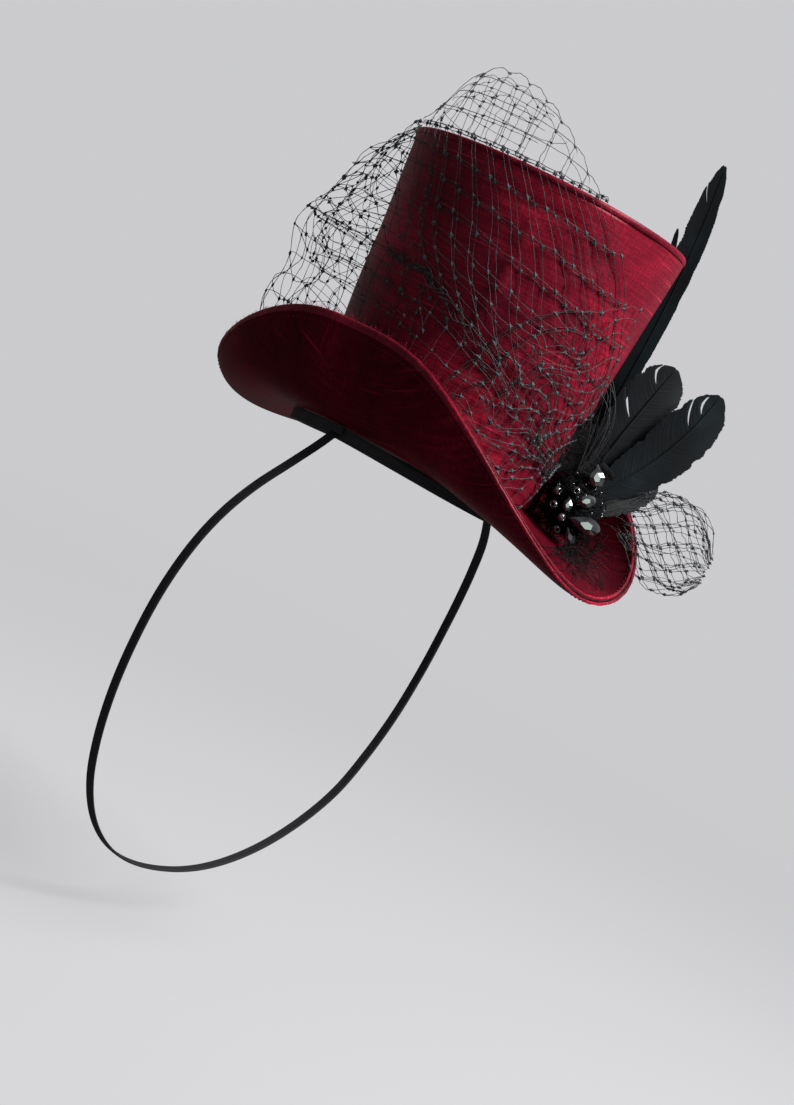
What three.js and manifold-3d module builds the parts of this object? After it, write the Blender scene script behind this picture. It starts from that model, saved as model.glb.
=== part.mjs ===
// A mini top hat fascinator: silk crown and rolled brim, net veil, feathers, beads and elastic strap.
// Millimetres. +Z is the crown's axis, -Y the wearer's front and +X the wearer's left.
// The origin is the middle of the head opening, level with the middle of the brim's inner edge.
import * as THREE from "three";
import { mergeVertices } from "three/addons/utils/BufferGeometryUtils.js";
import Module from "manifold-3d";

// Crown
const crownFootRadius = 43.2;
const crownTopRadius = 51.6;
const crownHeight = 103;
const crownWall = 1.6;
const tipWall = 1.6;
const tipEdgeDepth = 2.4;
const tipEdgeWall = 0.7;

// Brim
const brimHalfLength = 87;
const brimHalfWidth = 60;
const brimSquareness = 2.5;
const brimPly = 1.0;
const brimPlyGap = 0.3;
const sideLift = 33;
const frontDrop = 14.5;
const backDrop = 6;
const rollPower = 3.3;
const rollStart = 0.85;
const sideFootSlope = 5;
const frontFootSlope = -23.5;
const backFootSlope = -20;

// Head band and strap
const bandOutset = 4.8;
const bandWall = 1.4;
const bandDepth = 4.2;
const strapWidth = 3.8;
const strapThickness = 1.1;
const tabWidth = 6.4;
const tabHeight = 2.6;
const tabWall = 1.2;

// Net on the crown's side. Angles are from the front, positive towards the wearer's left.
const netWall = 0.9;
const netStrand = 0.14;
const netStandoff = 1.6;
const netBrimClearance = 1.2;
const netTopRise = 0.4;
const netFrontFoot = 26;
const netFrontSlant = 60;
const netFrontStart = 0.28;
const netBackEnd = -203;
const tentReach = 26;
const tentShoulder = 0.485;
const tentStartAngle = -104;
const tentFullAngle = -143;

// Net over the crown's top, its places as shares of the radius of the net at the rim
const crestHeading = -53;
const crestRise = 30;
const crestFront = 0.325;
const crestPeak = -0.5;
const crestBack = -0.93;

// Net puff in front
const puffHeading = 25;
const puffStandoff = 19;
const puffHeight = 10;
const puffLength = 44;
const puffRadius = 16;

// Trim: places are given outwards from the crown's wall, aside towards the back, and up
const trimHeading = 37;
const padStandoff = 10;
const padAside = -16;
const padHeight = 10.5;
const padRadiusOut = 10.5;
const padRadiusAside = 8.5;
const padRadiusUp = 11.5;
const featherWall = 0.8;
const quillWall = 1.5;
const featherCup = 0.12;
const roundBead = 3.2;
const roundBeadHole = 1.1;
const dropTable = 0.62;

// Clearance between neighbours
const gap = 0.3;

const wasm = await Module();
wasm.setup();

const colours = {
  silk: { color: 0x8a1428, roughness: 0.45, metalness: 0 },
  ribbon: { color: 0x0c0c0e, roughness: 0.8, metalness: 0 },
  elastic: { color: 0x0b0b0d, roughness: 0.85, metalness: 0 },
  net: { color: 0x18191c, roughness: 0.7, metalness: 0 },
  feather: { color: 0x0d1013, roughness: 0.5, metalness: 0 },
  glass: { color: 0x050608, roughness: 0.08, metalness: 0.1 },
};

const radians = THREE.MathUtils.degToRad;
const hat = new THREE.Group();

// Adds one named piece in its own material.
function addPiece(name, geometry, colour) {
  const mesh = new THREE.Mesh(geometry, new THREE.MeshStandardMaterial(colours[colour]));
  mesh.name = name;
  hat.add(mesh);
  return mesh;
}

// A closed geometry as a solid that can be cut or joined.
function toSolid(geometry) {
  const bare = geometry.clone();
  bare.deleteAttribute("normal");
  bare.deleteAttribute("uv");
  const merged = mergeVertices(bare, 1e-4);
  const solid = new wasm.Manifold(
    new wasm.Mesh({
      numProp: 3,
      vertProperties: merged.attributes.position.array,
      triVerts: new Uint32Array(merged.index.array),
    }),
  );
  return solid;
}

// A solid as a geometry.
function toGeometry(solid) {
  const { vertProperties, triVerts } = solid.getMesh();
  return new THREE.BufferGeometry()
    .setAttribute("position", new THREE.BufferAttribute(new Float32Array(vertProperties), 3))
    .setIndex(new THREE.BufferAttribute(new Uint32Array(triVerts), 1));
}

function cut(geometry, ...tools) {
  let solid = toSolid(geometry);
  for (const tool of tools) solid = solid.subtract(toSolid(tool));
  return toGeometry(solid);
}

// A point at an angle from the front, positive towards the wearer's left.
function around(angle, radius, z) {
  const turn = radians(angle);
  return new THREE.Vector3(radius * Math.sin(turn), -radius * Math.cos(turn), z);
}

// A point measured out along the trim's heading, aside of it towards the back, and up.
function fromTrim(out, aside, up) {
  const ahead = around(trimHeading, out, up);
  return ahead.add(around(trimHeading + 90, aside, 0));
}

// The same with out measured from the crown's wall at that height.
function fromWall({ out, aside, up }) {
  return fromTrim(crownRadiusAt(Math.min(up, crownHeight)) + out, aside, up);
}

function smooth(from, to, value) {
  const share = THREE.MathUtils.clamp((value - from) / (to - from), 0, 1);
  return share * share * (3 - 2 * share);
}

// A cloth or net over a grid of points, with some cells left open and its edges closed.
// place(u, v) gives the middle surface, columns and rows are the shares of the grid's lines, and
// depths(u, v) gives how far the upper and the lower face lie from the middle, along its normal.
function sheetSolid({ place, columns, rows, depths, open = () => false, closed = false }) {
  const step = 1e-3;
  const within = (value) => (closed ? value : THREE.MathUtils.clamp(value, 0, 1));
  const inside = (value) => THREE.MathUtils.clamp(value, rows[0], rows[rows.length - 1]);
  const corners = [];
  const columnCount = closed ? columns.length - 1 : columns.length;
  for (const u of columns.slice(0, columnCount)) {
    for (const v of rows) {
      const along = place(within(u + step), v).sub(place(within(u - step), v));
      const across = place(u, inside(v + step)).sub(place(u, inside(v - step)));
      const normal = across.cross(along).normalize();
      for (const depth of depths(u, v)) corners.push(place(u, v).addScaledVector(normal, depth));
    }
  }
  const corner = (i, j, side) => 2 * ((i % columnCount) * rows.length + j) + side;
  const cellColumns = columns.length - 1;
  const cellRows = rows.length - 1;
  const isSolid = (i, j) => {
    if (j < 0 || j >= cellRows) return false;
    if (!closed && (i < 0 || i >= cellColumns)) return false;
    return !open((i + cellColumns) % cellColumns, j);
  };
  const faces = [];
  const quad = (a, b, c, d) => faces.push(a, b, c, a, c, d);
  for (let i = 0; i < cellColumns; i++) {
    for (let j = 0; j < cellRows; j++) {
      if (!isSolid(i, j)) continue;
      const [a, b, c, d] = [[i, j], [i + 1, j], [i + 1, j + 1], [i, j + 1]];
      quad(corner(...a, 0), corner(...b, 0), corner(...c, 0), corner(...d, 0));
      quad(corner(...a, 1), corner(...d, 1), corner(...c, 1), corner(...b, 1));
      const edges = [
        [a, b, isSolid(i, j - 1)],
        [b, c, isSolid(i + 1, j)],
        [c, d, isSolid(i, j + 1)],
        [d, a, isSolid(i - 1, j)],
      ];
      for (const [from, to, joined] of edges) {
        if (joined) continue;
        quad(corner(...from, 1), corner(...to, 1), corner(...to, 0), corner(...from, 0));
      }
    }
  }
  return closedGeometry(corners, faces);
}

// A geometry from corner points and faces, turned so that its faces point outwards.
function closedGeometry(corners, faces) {
  let volume = 0;
  for (let k = 0; k < faces.length; k += 3) {
    const [a, b, c] = [corners[faces[k]], corners[faces[k + 1]], corners[faces[k + 2]]];
    volume += a.dot(b.clone().cross(c));
  }
  const order = volume < 0 ? faces.slice().reverse() : faces;
  return new THREE.BufferGeometry().setFromPoints(corners).setIndex(order);
}

function evenSteps(count) {
  return Array.from({ length: count + 1 }, (_, k) => k / count);
}

// Grid lines for a net: a narrow strand, then a wide opening, again and again, and a last strand.
function strandSteps(openings, strand) {
  const lines = [0];
  for (let k = 0; k <= openings; k++) {
    const start = (k * (1 - strand / openings)) / openings;
    if (k > 0) lines.push(start);
    lines.push(start + strand / openings);
  }
  lines[lines.length - 1] = 1;
  return lines;
}

// The same all round a ring, where the last opening meets the first strand.
function ringSteps(openings, strand) {
  const lines = [0];
  for (let k = 0; k < openings; k++) {
    lines.push((k + strand) / openings);
    lines.push((k + 1) / openings);
  }
  return lines;
}

// The cells of such a grid that are open.
const isOpening = (i, j) => i % 2 === 1 && j % 2 === 1;

// Crown
const crownSides = 60;

function crownRadiusAt(z) {
  return crownFootRadius + ((crownTopRadius - crownFootRadius) * z) / crownHeight;
}

const brimHalfStack = brimPly + brimPlyGap / 2;
const crownFoot = brimHalfStack + gap;
const tipUnderside = crownHeight - tipWall;
const sideTop = tipUnderside - gap;
const tipRimRadius = crownTopRadius + gap + tipEdgeWall;

function crownSide() {
  const profile = [
    new THREE.Vector2(crownRadiusAt(crownFoot) - crownWall, crownFoot),
    new THREE.Vector2(crownRadiusAt(crownFoot), crownFoot),
    new THREE.Vector2(crownRadiusAt(sideTop), sideTop),
    new THREE.Vector2(crownRadiusAt(sideTop) - crownWall, sideTop),
  ];
  return turned([...profile, profile[0]], crownSides);
}

function crownTop() {
  const skirt = crownHeight - tipEdgeDepth;
  const bevel = tipEdgeWall;
  const profile = [
    new THREE.Vector2(0, tipUnderside),
    new THREE.Vector2(crownTopRadius + gap, tipUnderside),
    new THREE.Vector2(crownTopRadius + gap, skirt),
    new THREE.Vector2(tipRimRadius, skirt),
    new THREE.Vector2(tipRimRadius, crownHeight - bevel),
    new THREE.Vector2(tipRimRadius - bevel, crownHeight),
    new THREE.Vector2(0, crownHeight),
  ];
  return turned(profile, crownSides);
}

// A profile turned round the crown's axis.
function turned(profile, sides) {
  return new THREE.LatheGeometry(profile, sides).rotateX(Math.PI / 2);
}

// Brim: each spoke leaves the crown's foot at the foot slope and ends at the outer edge.
function brimEdge(angle) {
  const turn = radians(angle);
  const wide = Math.abs(Math.sin(turn) / brimHalfWidth) ** brimSquareness;
  const long = Math.abs(Math.cos(turn) / brimHalfLength) ** brimSquareness;
  const radius = (wide + long) ** (-1 / brimSquareness);
  const drop = Math.cos(turn) > 0 ? frontDrop : backDrop;
  const height = sideLift - (sideLift + drop) * Math.abs(Math.cos(turn)) ** rollPower;
  return around(angle, radius, height);
}

function brimFootSlope(angle) {
  const ahead = Math.cos(radians(angle));
  const end = ahead > 0 ? frontFootSlope : backFootSlope;
  return sideFootSlope + (end - sideFootSlope) * ahead * ahead;
}

function brimPoint(angle, share) {
  const foot = around(angle, crownFootRadius, 0);
  if (share < 0) return around(angle, crownFootRadius + share * crownWall, 0);
  const edge = brimEdge(angle);
  const reach = Math.hypot(edge.x - foot.x, edge.y - foot.y);
  const bend = foot.clone().lerp(edge, rollStart);
  bend.z = reach * rollStart * Math.tan(radians(brimFootSlope(angle)));
  const near = foot.lerp(bend, share);
  const far = bend.clone().lerp(edge, share);
  return near.lerp(far, share);
}

// The share along a spoke that lies at a given radius.
function brimShareAt(angle, radius) {
  const edge = brimEdge(angle);
  const reach = Math.hypot(edge.x, edge.y) - crownFootRadius;
  const wanted = THREE.MathUtils.clamp((radius - crownFootRadius) / reach, 0, 1);
  const curve = 1 - 2 * rollStart;
  const root = Math.sqrt(rollStart * rollStart + curve * wanted);
  return (root - rollStart) / curve;
}

function brimHeightAt(angle, radius) {
  return brimPoint(angle, brimShareAt(angle, radius)).z;
}

// One ply of the brim, above the middle surface or below it.
function brimLayer(side) {
  const near = (side * brimPlyGap) / 2;
  const far = near + side * brimPly;
  return brimSheet(Math.max(near, far), Math.min(near, far));
}

// The brim between two depths from its middle surface.
function brimSheet(upper, lower) {
  return sheetSolid({
    place: (u, v) => brimPoint(360 * u - 180, v),
    columns: evenSteps(56),
    rows: [-1, 0, 0.17, 0.36, 0.57, 0.78, 1],
    depths: () => [upper, lower],
    closed: true,
  });
}

// Head band: a ribbon ring hung under the brim, following it round.
const bandRadius = crownFootRadius + bandOutset;
function bandTop(angle, radius) {
  const slope = radians(brimFootSlope(angle));
  return brimHeightAt(angle, radius) - (brimHalfStack + gap) / Math.cos(slope);
}

function headBand() {
  const sides = 56;
  const section = (angle) => {
    const outer = bandRadius;
    const inner = bandRadius - bandWall;
    return [
      around(angle, inner, bandTop(angle, inner)),
      around(angle, outer, bandTop(angle, outer)),
      around(angle, outer, bandTop(angle, outer) - bandDepth),
      around(angle, inner, bandTop(angle, outer) - bandDepth),
    ];
  };
  return ringOf(sides, section);
}

// A closed ring whose section is given at each angle.
function ringOf(sides, section) {
  const corners = [];
  for (let k = 0; k < sides; k++) corners.push(...section((360 * k) / sides - 180));
  const count = corners.length / sides;
  const faces = [];
  for (let k = 0; k < sides; k++) {
    for (let m = 0; m < count; m++) {
      const a = k * count + m;
      const b = k * count + ((m + 1) % count);
      const c = ((k + 1) % sides) * count + ((m + 1) % count);
      const d = ((k + 1) % sides) * count + m;
      faces.push(a, b, c, a, c, d);
    }
  }
  return closedGeometry(corners, faces);
}

// Strap: the wearer's right half from the tab down to the middle of the back, mirrored.
const strapRoute = [
  { x: -48.9, y: 0, z: -3.6 },
  { x: -53, y: 0.4, z: -9 },
  { x: -59.5, y: 2, z: -18 },
  { x: -66.5, y: 5.5, z: -30 },
  { x: -71.5, y: 8.5, z: -42 },
  { x: -75, y: 11, z: -56 },
  { x: -77, y: 13, z: -74 },
  { x: -76.5, y: 14.5, z: -94 },
  { x: -73.5, y: 16, z: -113 },
  { x: -68, y: 17.5, z: -131 },
  { x: -59, y: 20, z: -147 },
  { x: -46, y: 22.5, z: -161 },
  { x: -30, y: 24.5, z: -171 },
  { x: -12, y: 25.5, z: -176 },
];

function elasticStrap() {
  const right = strapRoute.map(({ x, y, z }) => new THREE.Vector3(x, y, z));
  const left = strapRoute.map(({ x, y, z }) => new THREE.Vector3(-x, y, z)).reverse();
  const route = new THREE.CatmullRomCurve3([...right, ...left], false, "centripetal");
  const section = new THREE.Shape(
    [
      [1, 0.4],
      [0.8, 1],
      [-0.8, 1],
      [-1, 0.4],
      [-1, -0.4],
      [-0.8, -1],
      [0.8, -1],
      [1, -0.4],
    ].map(([wide, thick]) => new THREE.Vector2((wide * strapWidth) / 2, (thick * strapThickness) / 2)),
  );
  return new THREE.ExtrudeGeometry(section, {
    steps: 48,
    bevelEnabled: false,
    extrudePath: route,
  });
}

// The folded and sewn end of the strap against the band, on the right (-1) or the left (1).
function strapTab(side) {
  const top = bandTop(side * 90, bandRadius) - gap;
  const plate = new THREE.BoxGeometry(tabWall, tabWidth, tabHeight);
  return plate.translate(side * (bandRadius + gap + tabWall / 2), 0, top - tabHeight / 2);
}

// Net on the crown's side: it hugs the crown on the wearer's right, starts at a slanting front
// border and stands off as a tent round the back.
const netTop = crownHeight + netTopRise;

function netFrontBorder(z) {
  const climb = Math.max(z / crownHeight - netFrontStart, 0) / (1 - netFrontStart);
  return netFrontFoot - netFrontSlant * climb ** 1.6;
}

function netSideRadius(angle, z) {
  const shoulder = tentShoulder * crownHeight;
  const fall = Math.max(z - shoulder, 0) / (crownHeight - shoulder);
  const reach = tentReach * (1 - fall ** 1.9) * smooth(tentStartAngle, tentFullAngle, angle);
  const overRim = (tipEdgeWall + gap) * smooth(0.8 * crownHeight, crownHeight, z);
  return crownRadiusAt(z) + netStandoff + overRim + reach;
}

// The height at which an upright net clears the brim at a radius.
function netFoot(angle, radius) {
  const slope = brimHeightAt(angle, radius + netWall) - brimHeightAt(angle, radius);
  const steep = Math.abs(slope) / netWall;
  const clear = (brimHalfStack + gap + netWall / 2) * Math.hypot(1, steep);
  return brimHeightAt(angle, radius) + clear + netBrimClearance * steep;
}

function netSidePoint(across, up) {
  const guess = netFrontBorder(0) + across * (netBackEnd - netFrontBorder(0));
  const foot = netFoot(guess, netSideRadius(guess, 0));
  const z = foot + up * (netTop - foot);
  const border = netFrontBorder(z);
  const angle = border + across * (netBackEnd - border);
  return around(angle, netSideRadius(angle, z), z);
}

function veilSide() {
  return sheetSolid({
    place: netSidePoint,
    columns: strandSteps(12, netStrand),
    rows: strandSteps(5, netStrand),
    depths: () => [netWall / 2, -netWall / 2],
    open: isOpening,
  });
}

// Net over the crown's top: it climbs from the near rim, stands up and falls to the far rim. Its
// height is given along the rim from the crest's front to its back.
function crestHeight(place) {
  const ahead = place - crestPeak;
  const width = ahead < 0 ? crestPeak - crestBack : crestFront - crestPeak;
  const power = ahead < 0 ? 3 : 1.6;
  return crestRise * (1 - Math.min(Math.abs(ahead) / width, 1) ** power);
}

function crestPoint(along, over) {
  const rim = netSideRadius(crestHeading, crownHeight);
  const place = crestFront + along * (crestBack - crestFront);
  const halfChord = rim * Math.sqrt(1 - place * place);
  const lift = crestHeight(place) * Math.sin(Math.PI * over) ** 0.8;
  return fromTrim(place * rim, halfChord * (2 * over - 1), netTop + gap + netWall / 2 + lift);
}

function veilCrest() {
  return sheetSolid({
    place: crestPoint,
    columns: strandSteps(6, netStrand),
    rows: strandSteps(5, netStrand),
    depths: () => [netWall / 2, -netWall / 2],
    open: isOpening,
  });
}

// Net puff: a rounded bag from the bead cluster out over the front of the brim. Each row is a
// section: its place along the puff, its radius as a share of the fullest, and its middle's rise.
const puffSections = [
  { along: 0, fullness: 0.2, rise: 0 },
  { along: 0.16, fullness: 0.36, rise: 4.4 },
  { along: 0.34, fullness: 0.64, rise: 6.2 },
  { along: 0.56, fullness: 0.97, rise: 4.6 },
  { along: 0.76, fullness: 0.97, rise: 2.4 },
  { along: 0.92, fullness: 0.6, rise: 0.6 },
  { along: 1, fullness: 0.22, rise: 0 },
];

function puffPoint(turn, along) {
  const value = (key) => curveThrough(puffSections, key, along);
  const radius = value("fullness") * puffRadius;
  const out = crownFootRadius + puffStandoff + along * puffLength;
  const angle = 2 * Math.PI * turn;
  const middle = around(puffHeading, out, puffHeight + value("rise"));
  middle.add(around(puffHeading + 90, radius * Math.cos(angle), 0));
  middle.z += radius * Math.sin(angle);
  return middle;
}

// A smooth value through a table's rows, at a place between 0 and 1.
function curveThrough(rows, key, place) {
  let k = rows.findIndex((row) => row.along >= place) - 1;
  k = THREE.MathUtils.clamp(k, 0, rows.length - 2);
  const share = THREE.MathUtils.clamp((place - rows[k].along) / (rows[k + 1].along - rows[k].along), 0, 1);
  const before = rows[Math.max(k - 1, 0)][key];
  const after = rows[Math.min(k + 2, rows.length - 1)][key];
  const [from, to] = [rows[k][key], rows[k + 1][key]];
  return catmull(before, from, to, after, share);
}

function catmull(before, from, to, after, share) {
  const [a, b] = [(to - before) / 2, (after - from) / 2];
  const [square, cube] = [share ** 2, share ** 3];
  return (
    (2 * cube - 3 * square + 1) * from +
    (cube - 2 * square + share) * a +
    (3 * square - 2 * cube) * to +
    (cube - square) * b
  );
}

function veilFront() {
  return sheetSolid({
    place: puffPoint,
    columns: ringSteps(7, netStrand),
    rows: strandSteps(4, netStrand),
    depths: () => [netWall / 2, -netWall / 2],
    open: isOpening,
    closed: true,
  });
}

// Cluster backing: an egg-shaped pad in the corner of the crown and the brim.
const padMiddle = fromWall({ out: padStandoff, aside: padAside, up: padHeight });

function padSolid(extra) {
  const egg = new THREE.SphereGeometry(1, 16, 10);
  egg.scale(padRadiusOut + extra, padRadiusAside + extra, padRadiusUp + extra);
  egg.rotateZ(radians(trimHeading - 90));
  return egg.translate(padMiddle.x, padMiddle.y, padMiddle.z);
}

// The crown and the brim grown by the clearance, to cut what rests on them.
function crownGrown() {
  const skirt = crownHeight - tipEdgeDepth - gap;
  const rim = tipRimRadius + gap;
  const profile = [
    new THREE.Vector2(0, -brimHalfStack),
    new THREE.Vector2(crownRadiusAt(-brimHalfStack) + gap, -brimHalfStack),
    new THREE.Vector2(crownRadiusAt(skirt) + gap, skirt),
    new THREE.Vector2(rim, skirt),
    new THREE.Vector2(rim, crownHeight + gap),
    new THREE.Vector2(0, crownHeight + gap),
  ];
  return turned(profile, crownSides);
}

function brimGrown() {
  const reach = brimHalfStack + gap;
  return brimSheet(reach, -reach - padRadiusUp / 2);
}

// Feathers: a quill with a vane each side. out, aside and up place the root, the bend's middle
// and the tip, facing turns the vane from edge-on (0) to face-on (90) at the root and the tip,
// and slits name the narrow gaps by the side of the quill and the row of the vane.
const feathers = [
  {
    name: "long_feather",
    root: { out: 6, aside: -9, up: 22 },
    middle: { out: 7, aside: 7, up: 88 },
    tip: { out: -2.1, aside: 4.5, up: 139 },
    halfWidth: 7.6,
    facing: { root: 30, tip: 46 },
    slits: [{ side: 1, row: 8 }],
  },
  {
    name: "short_feather",
    root: { out: 7.2, aside: -4, up: 26 },
    middle: { out: 4.2, aside: 25, up: 82 },
    tip: { out: -6.2, aside: 19.5, up: 114.5 },
    halfWidth: 2.6,
    facing: { root: 20, tip: 40 },
    slits: [],
  },
  {
    name: "wide_feather_1",
    root: { out: 9.6, aside: -13, up: 19 },
    middle: { out: 12.5, aside: -11.5, up: 46 },
    tip: { out: 16.3, aside: -10, up: 67.5 },
    halfWidth: 9.6,
    facing: { root: 90, tip: 84 },
    slits: [
      { side: -1, row: 5 },
      { side: 1, row: 8 },
    ],
  },
  {
    name: "wide_feather_2",
    root: { out: 12.5, aside: -16.5, up: 16 },
    middle: { out: 30, aside: -15.5, up: 34 },
    tip: { out: 34, aside: -14.5, up: 65.5 },
    halfWidth: 9.2,
    facing: { root: 94, tip: 92 },
    slits: [
      { side: -1, row: 7 },
      { side: 1, row: 8 },
    ],
  },
  {
    name: "wide_feather_3",
    root: { out: 12, aside: -12, up: 12 },
    middle: { out: 23.3, aside: -4, up: 18 },
    tip: { out: 31.3, aside: -1, up: 31 },
    halfWidth: 6.8,
    facing: { root: 98, tip: 96 },
    slits: [],
  },
];

// Half width of a vane as a share of its fullest, along the quill.
const vaneOutline = [
  { along: 0, width: 0.1 },
  { along: 0.12, width: 0.26 },
  { along: 0.3, width: 0.7 },
  { along: 0.5, width: 0.95 },
  { along: 0.74, width: 1 },
  { along: 0.9, width: 0.78 },
  { along: 0.97, width: 0.46 },
  { along: 1, width: 0.16 },
];
const vaneRows = [0, 0.1, 0.22, 0.34, 0.46, 0.58, 0.7, 0.8, 0.89, 0.96, 1];
const vaneColumns = [0, 0.22, 0.26, 0.46, 0.54, 0.74, 0.78, 1];
const slitColumn = { left: 1, right: 5 };
const quillReach = 0.05;

function featherPoint(feather, across, along) {
  const points = [feather.root, feather.middle, feather.tip].map(fromWall);
  const quill = new THREE.QuadraticBezierCurve3(...points);
  const tangent = quill.getTangent(along);
  const { facing } = feather;
  const turn = radians(facing.root + along * (facing.tip - facing.root));
  const normal = fromTrim(Math.cos(turn), -Math.sin(turn), 0);
  const side = new THREE.Vector3().crossVectors(normal, tangent).normalize();
  const face = new THREE.Vector3().crossVectors(tangent, side);
  const width = feather.halfWidth * curveThrough(vaneOutline, "width", along);
  const reach = 2 * across - 1;
  const cup = -featherCup * width * reach * reach;
  return quill.getPoint(along).addScaledVector(side, width * reach).addScaledVector(face, cup);
}

function featherSolid(feather) {
  const slitCells = feather.slits.map(({ side, row }) => ({
    column: side < 0 ? slitColumn.left : slitColumn.right,
    row,
  }));
  return sheetSolid({
    place: (u, v) => featherPoint(feather, u, v),
    columns: vaneColumns,
    rows: vaneRows,
    depths: (u) => {
      const wall = Math.abs(u - 0.5) < quillReach ? quillWall : featherWall;
      return [wall / 2, -wall / 2];
    },
    open: (i, j) => slitCells.some(({ column, row }) => column === i && row === j),
  });
}

// Glass: out and up place a bead where it touches the pad, as shares of the pad from its middle,
// lift holds it off the pad, and lean turns a drop's point from upright towards the heading.
const drops = [
  { name: "drop_bead_1", out: 0.16, up: 0.83, lift: 0, length: 8.4, width: 5.4, lean: -26 },
  { name: "drop_bead_2", out: 0.17, up: 0.21, lift: 0.3, length: 7.7, width: 4.4, lean: -122 },
  { name: "drop_bead_3", out: -0.21, up: -0.04, lift: 0, length: 5.4, width: 3.4, lean: -15 },
  { name: "drop_bead_4", out: 0.42, up: -0.3, lift: 0.2, length: 11.6, width: 6.2, lean: -92 },
  { name: "drop_bead_5", out: 0.24, up: -0.73, lift: 0, length: 6.6, width: 3.6, lean: -40 },
];
const rounds = [
  { name: "round_bead_1", out: -0.16, up: 0.36, lift: 0, tilt: 0 },
  { name: "round_bead_2", out: -0.16, up: -0.76, lift: 0, tilt: 20 },
  { name: "round_bead_3", out: -0.2, up: -0.42, lift: 0, tilt: 55 },
  { name: "round_bead_4", out: -0.55, up: -0.22, lift: 0, tilt: -25 },
  { name: "round_bead_5", out: -0.62, up: 0.15, lift: 0, tilt: 40 },
];

// Profile of a cut drop from its round end to its point, as shares of half length and half width.
const dropProfile = [
  { along: -1, width: 0 },
  { along: -0.86, width: 0.5 },
  { along: -0.45, width: 0.94 },
  { along: -0.1, width: 1 },
  { along: 0.5, width: 0.52 },
  { along: 0.92, width: 0.14 },
  { along: 1, width: 0 },
];

// The middle of a bead that reaches so far towards the pad from its middle along the normal.
function beadMiddle({ out, up, lift }, reachAlong) {
  const aside = -Math.sqrt(1 - out * out - up * up);
  const touch = fromTrim(out * padRadiusOut, aside * padRadiusAside, up * padRadiusUp);
  const steep = fromTrim(out / padRadiusOut, aside / padRadiusAside, up / padRadiusUp);
  const normal = steep.normalize();
  return touch.add(padMiddle).addScaledVector(normal, reachAlong(normal) + gap + lift);
}

// Puts a bead at its middle with its axis along the lean and its face turned from the spray.
function setBead(geometry, middle, lean, tilt) {
  const axis = fromTrim(Math.sin(radians(lean)), 0, Math.cos(radians(lean)));
  const face = fromTrim(0, -1, 0).applyAxisAngle(axis, radians(tilt));
  const across = new THREE.Vector3().crossVectors(axis, face);
  return geometry.applyMatrix4(new THREE.Matrix4().makeBasis(across, axis, face).setPosition(middle));
}

function dropBead(bead) {
  const profile = dropProfile.map(
    ({ along, width }) => new THREE.Vector2((width * bead.width) / 2, (along * bead.length) / 2),
  );
  const pear = toSolid(new THREE.LatheGeometry(profile, 8));
  const block = new THREE.BoxGeometry(bead.length, bead.length, bead.length);
  block.translate(0, 0, (dropTable * bead.width - bead.length) / 2);
  const cutPear = toGeometry(pear.intersect(toSolid(block)));
  const lean = radians(bead.lean);
  const axis = fromTrim(Math.sin(lean), 0, Math.cos(lean));
  const reachAlong = (normal) => {
    const towards = -axis.dot(normal);
    const level = Math.sqrt(1 - towards * towards);
    return Math.max(...profile.map((point) => point.y * towards + point.x * level));
  };
  return setBead(cutPear, beadMiddle(bead, reachAlong), bead.lean, 0);
}

function roundBeadRing(bead) {
  const [outer, inner] = [roundBead / 2, roundBeadHole / 2];
  const profile = [
    new THREE.Vector2(inner, -0.8 * outer),
    new THREE.Vector2(0.8 * outer, -0.6 * outer),
    new THREE.Vector2(outer, 0),
    new THREE.Vector2(0.8 * outer, 0.6 * outer),
    new THREE.Vector2(inner, 0.8 * outer),
  ];
  const ring = turned([...profile, profile[0]], 12);
  return setBead(ring, beadMiddle(bead, () => outer), 0, bead.tilt);
}

addPiece("crown_side", crownSide(), "silk");
addPiece("crown_top", crownTop(), "silk");
addPiece("brim_upper", brimLayer(1), "silk");
addPiece("brim_lower", brimLayer(-1), "silk");
addPiece("head_band", headBand(), "ribbon");
addPiece("strap_tab_right", strapTab(-1), "elastic");
addPiece("strap_tab_left", strapTab(1), "elastic");
addPiece("elastic_strap", elasticStrap(), "elastic");
addPiece("veil_side", cut(veilSide(), padSolid(gap)), "net");
addPiece("veil_crest", veilCrest(), "net");
addPiece("cluster_pad", cut(padSolid(0), crownGrown(), brimGrown()), "ribbon");
addPiece("veil_front", cut(veilFront(), padSolid(gap), brimGrown()), "net");
for (const feather of feathers) {
  addPiece(feather.name, cut(featherSolid(feather), padSolid(gap), crownGrown()), "feather");
}
for (const bead of drops) addPiece(bead.name, dropBead(bead), "glass");
for (const bead of rounds) addPiece(bead.name, roundBeadRing(bead), "glass");

export default hat;
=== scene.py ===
# Mini top hat fascinator: shot silk crown and brim, net veil, feathers, glass beads and elastic.
# Metres, +Z up the crown, -Y the wearer's front, +X the wearer's left.
import bpy
import math
import numpy as np
from mathutils import Matrix, Vector


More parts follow.
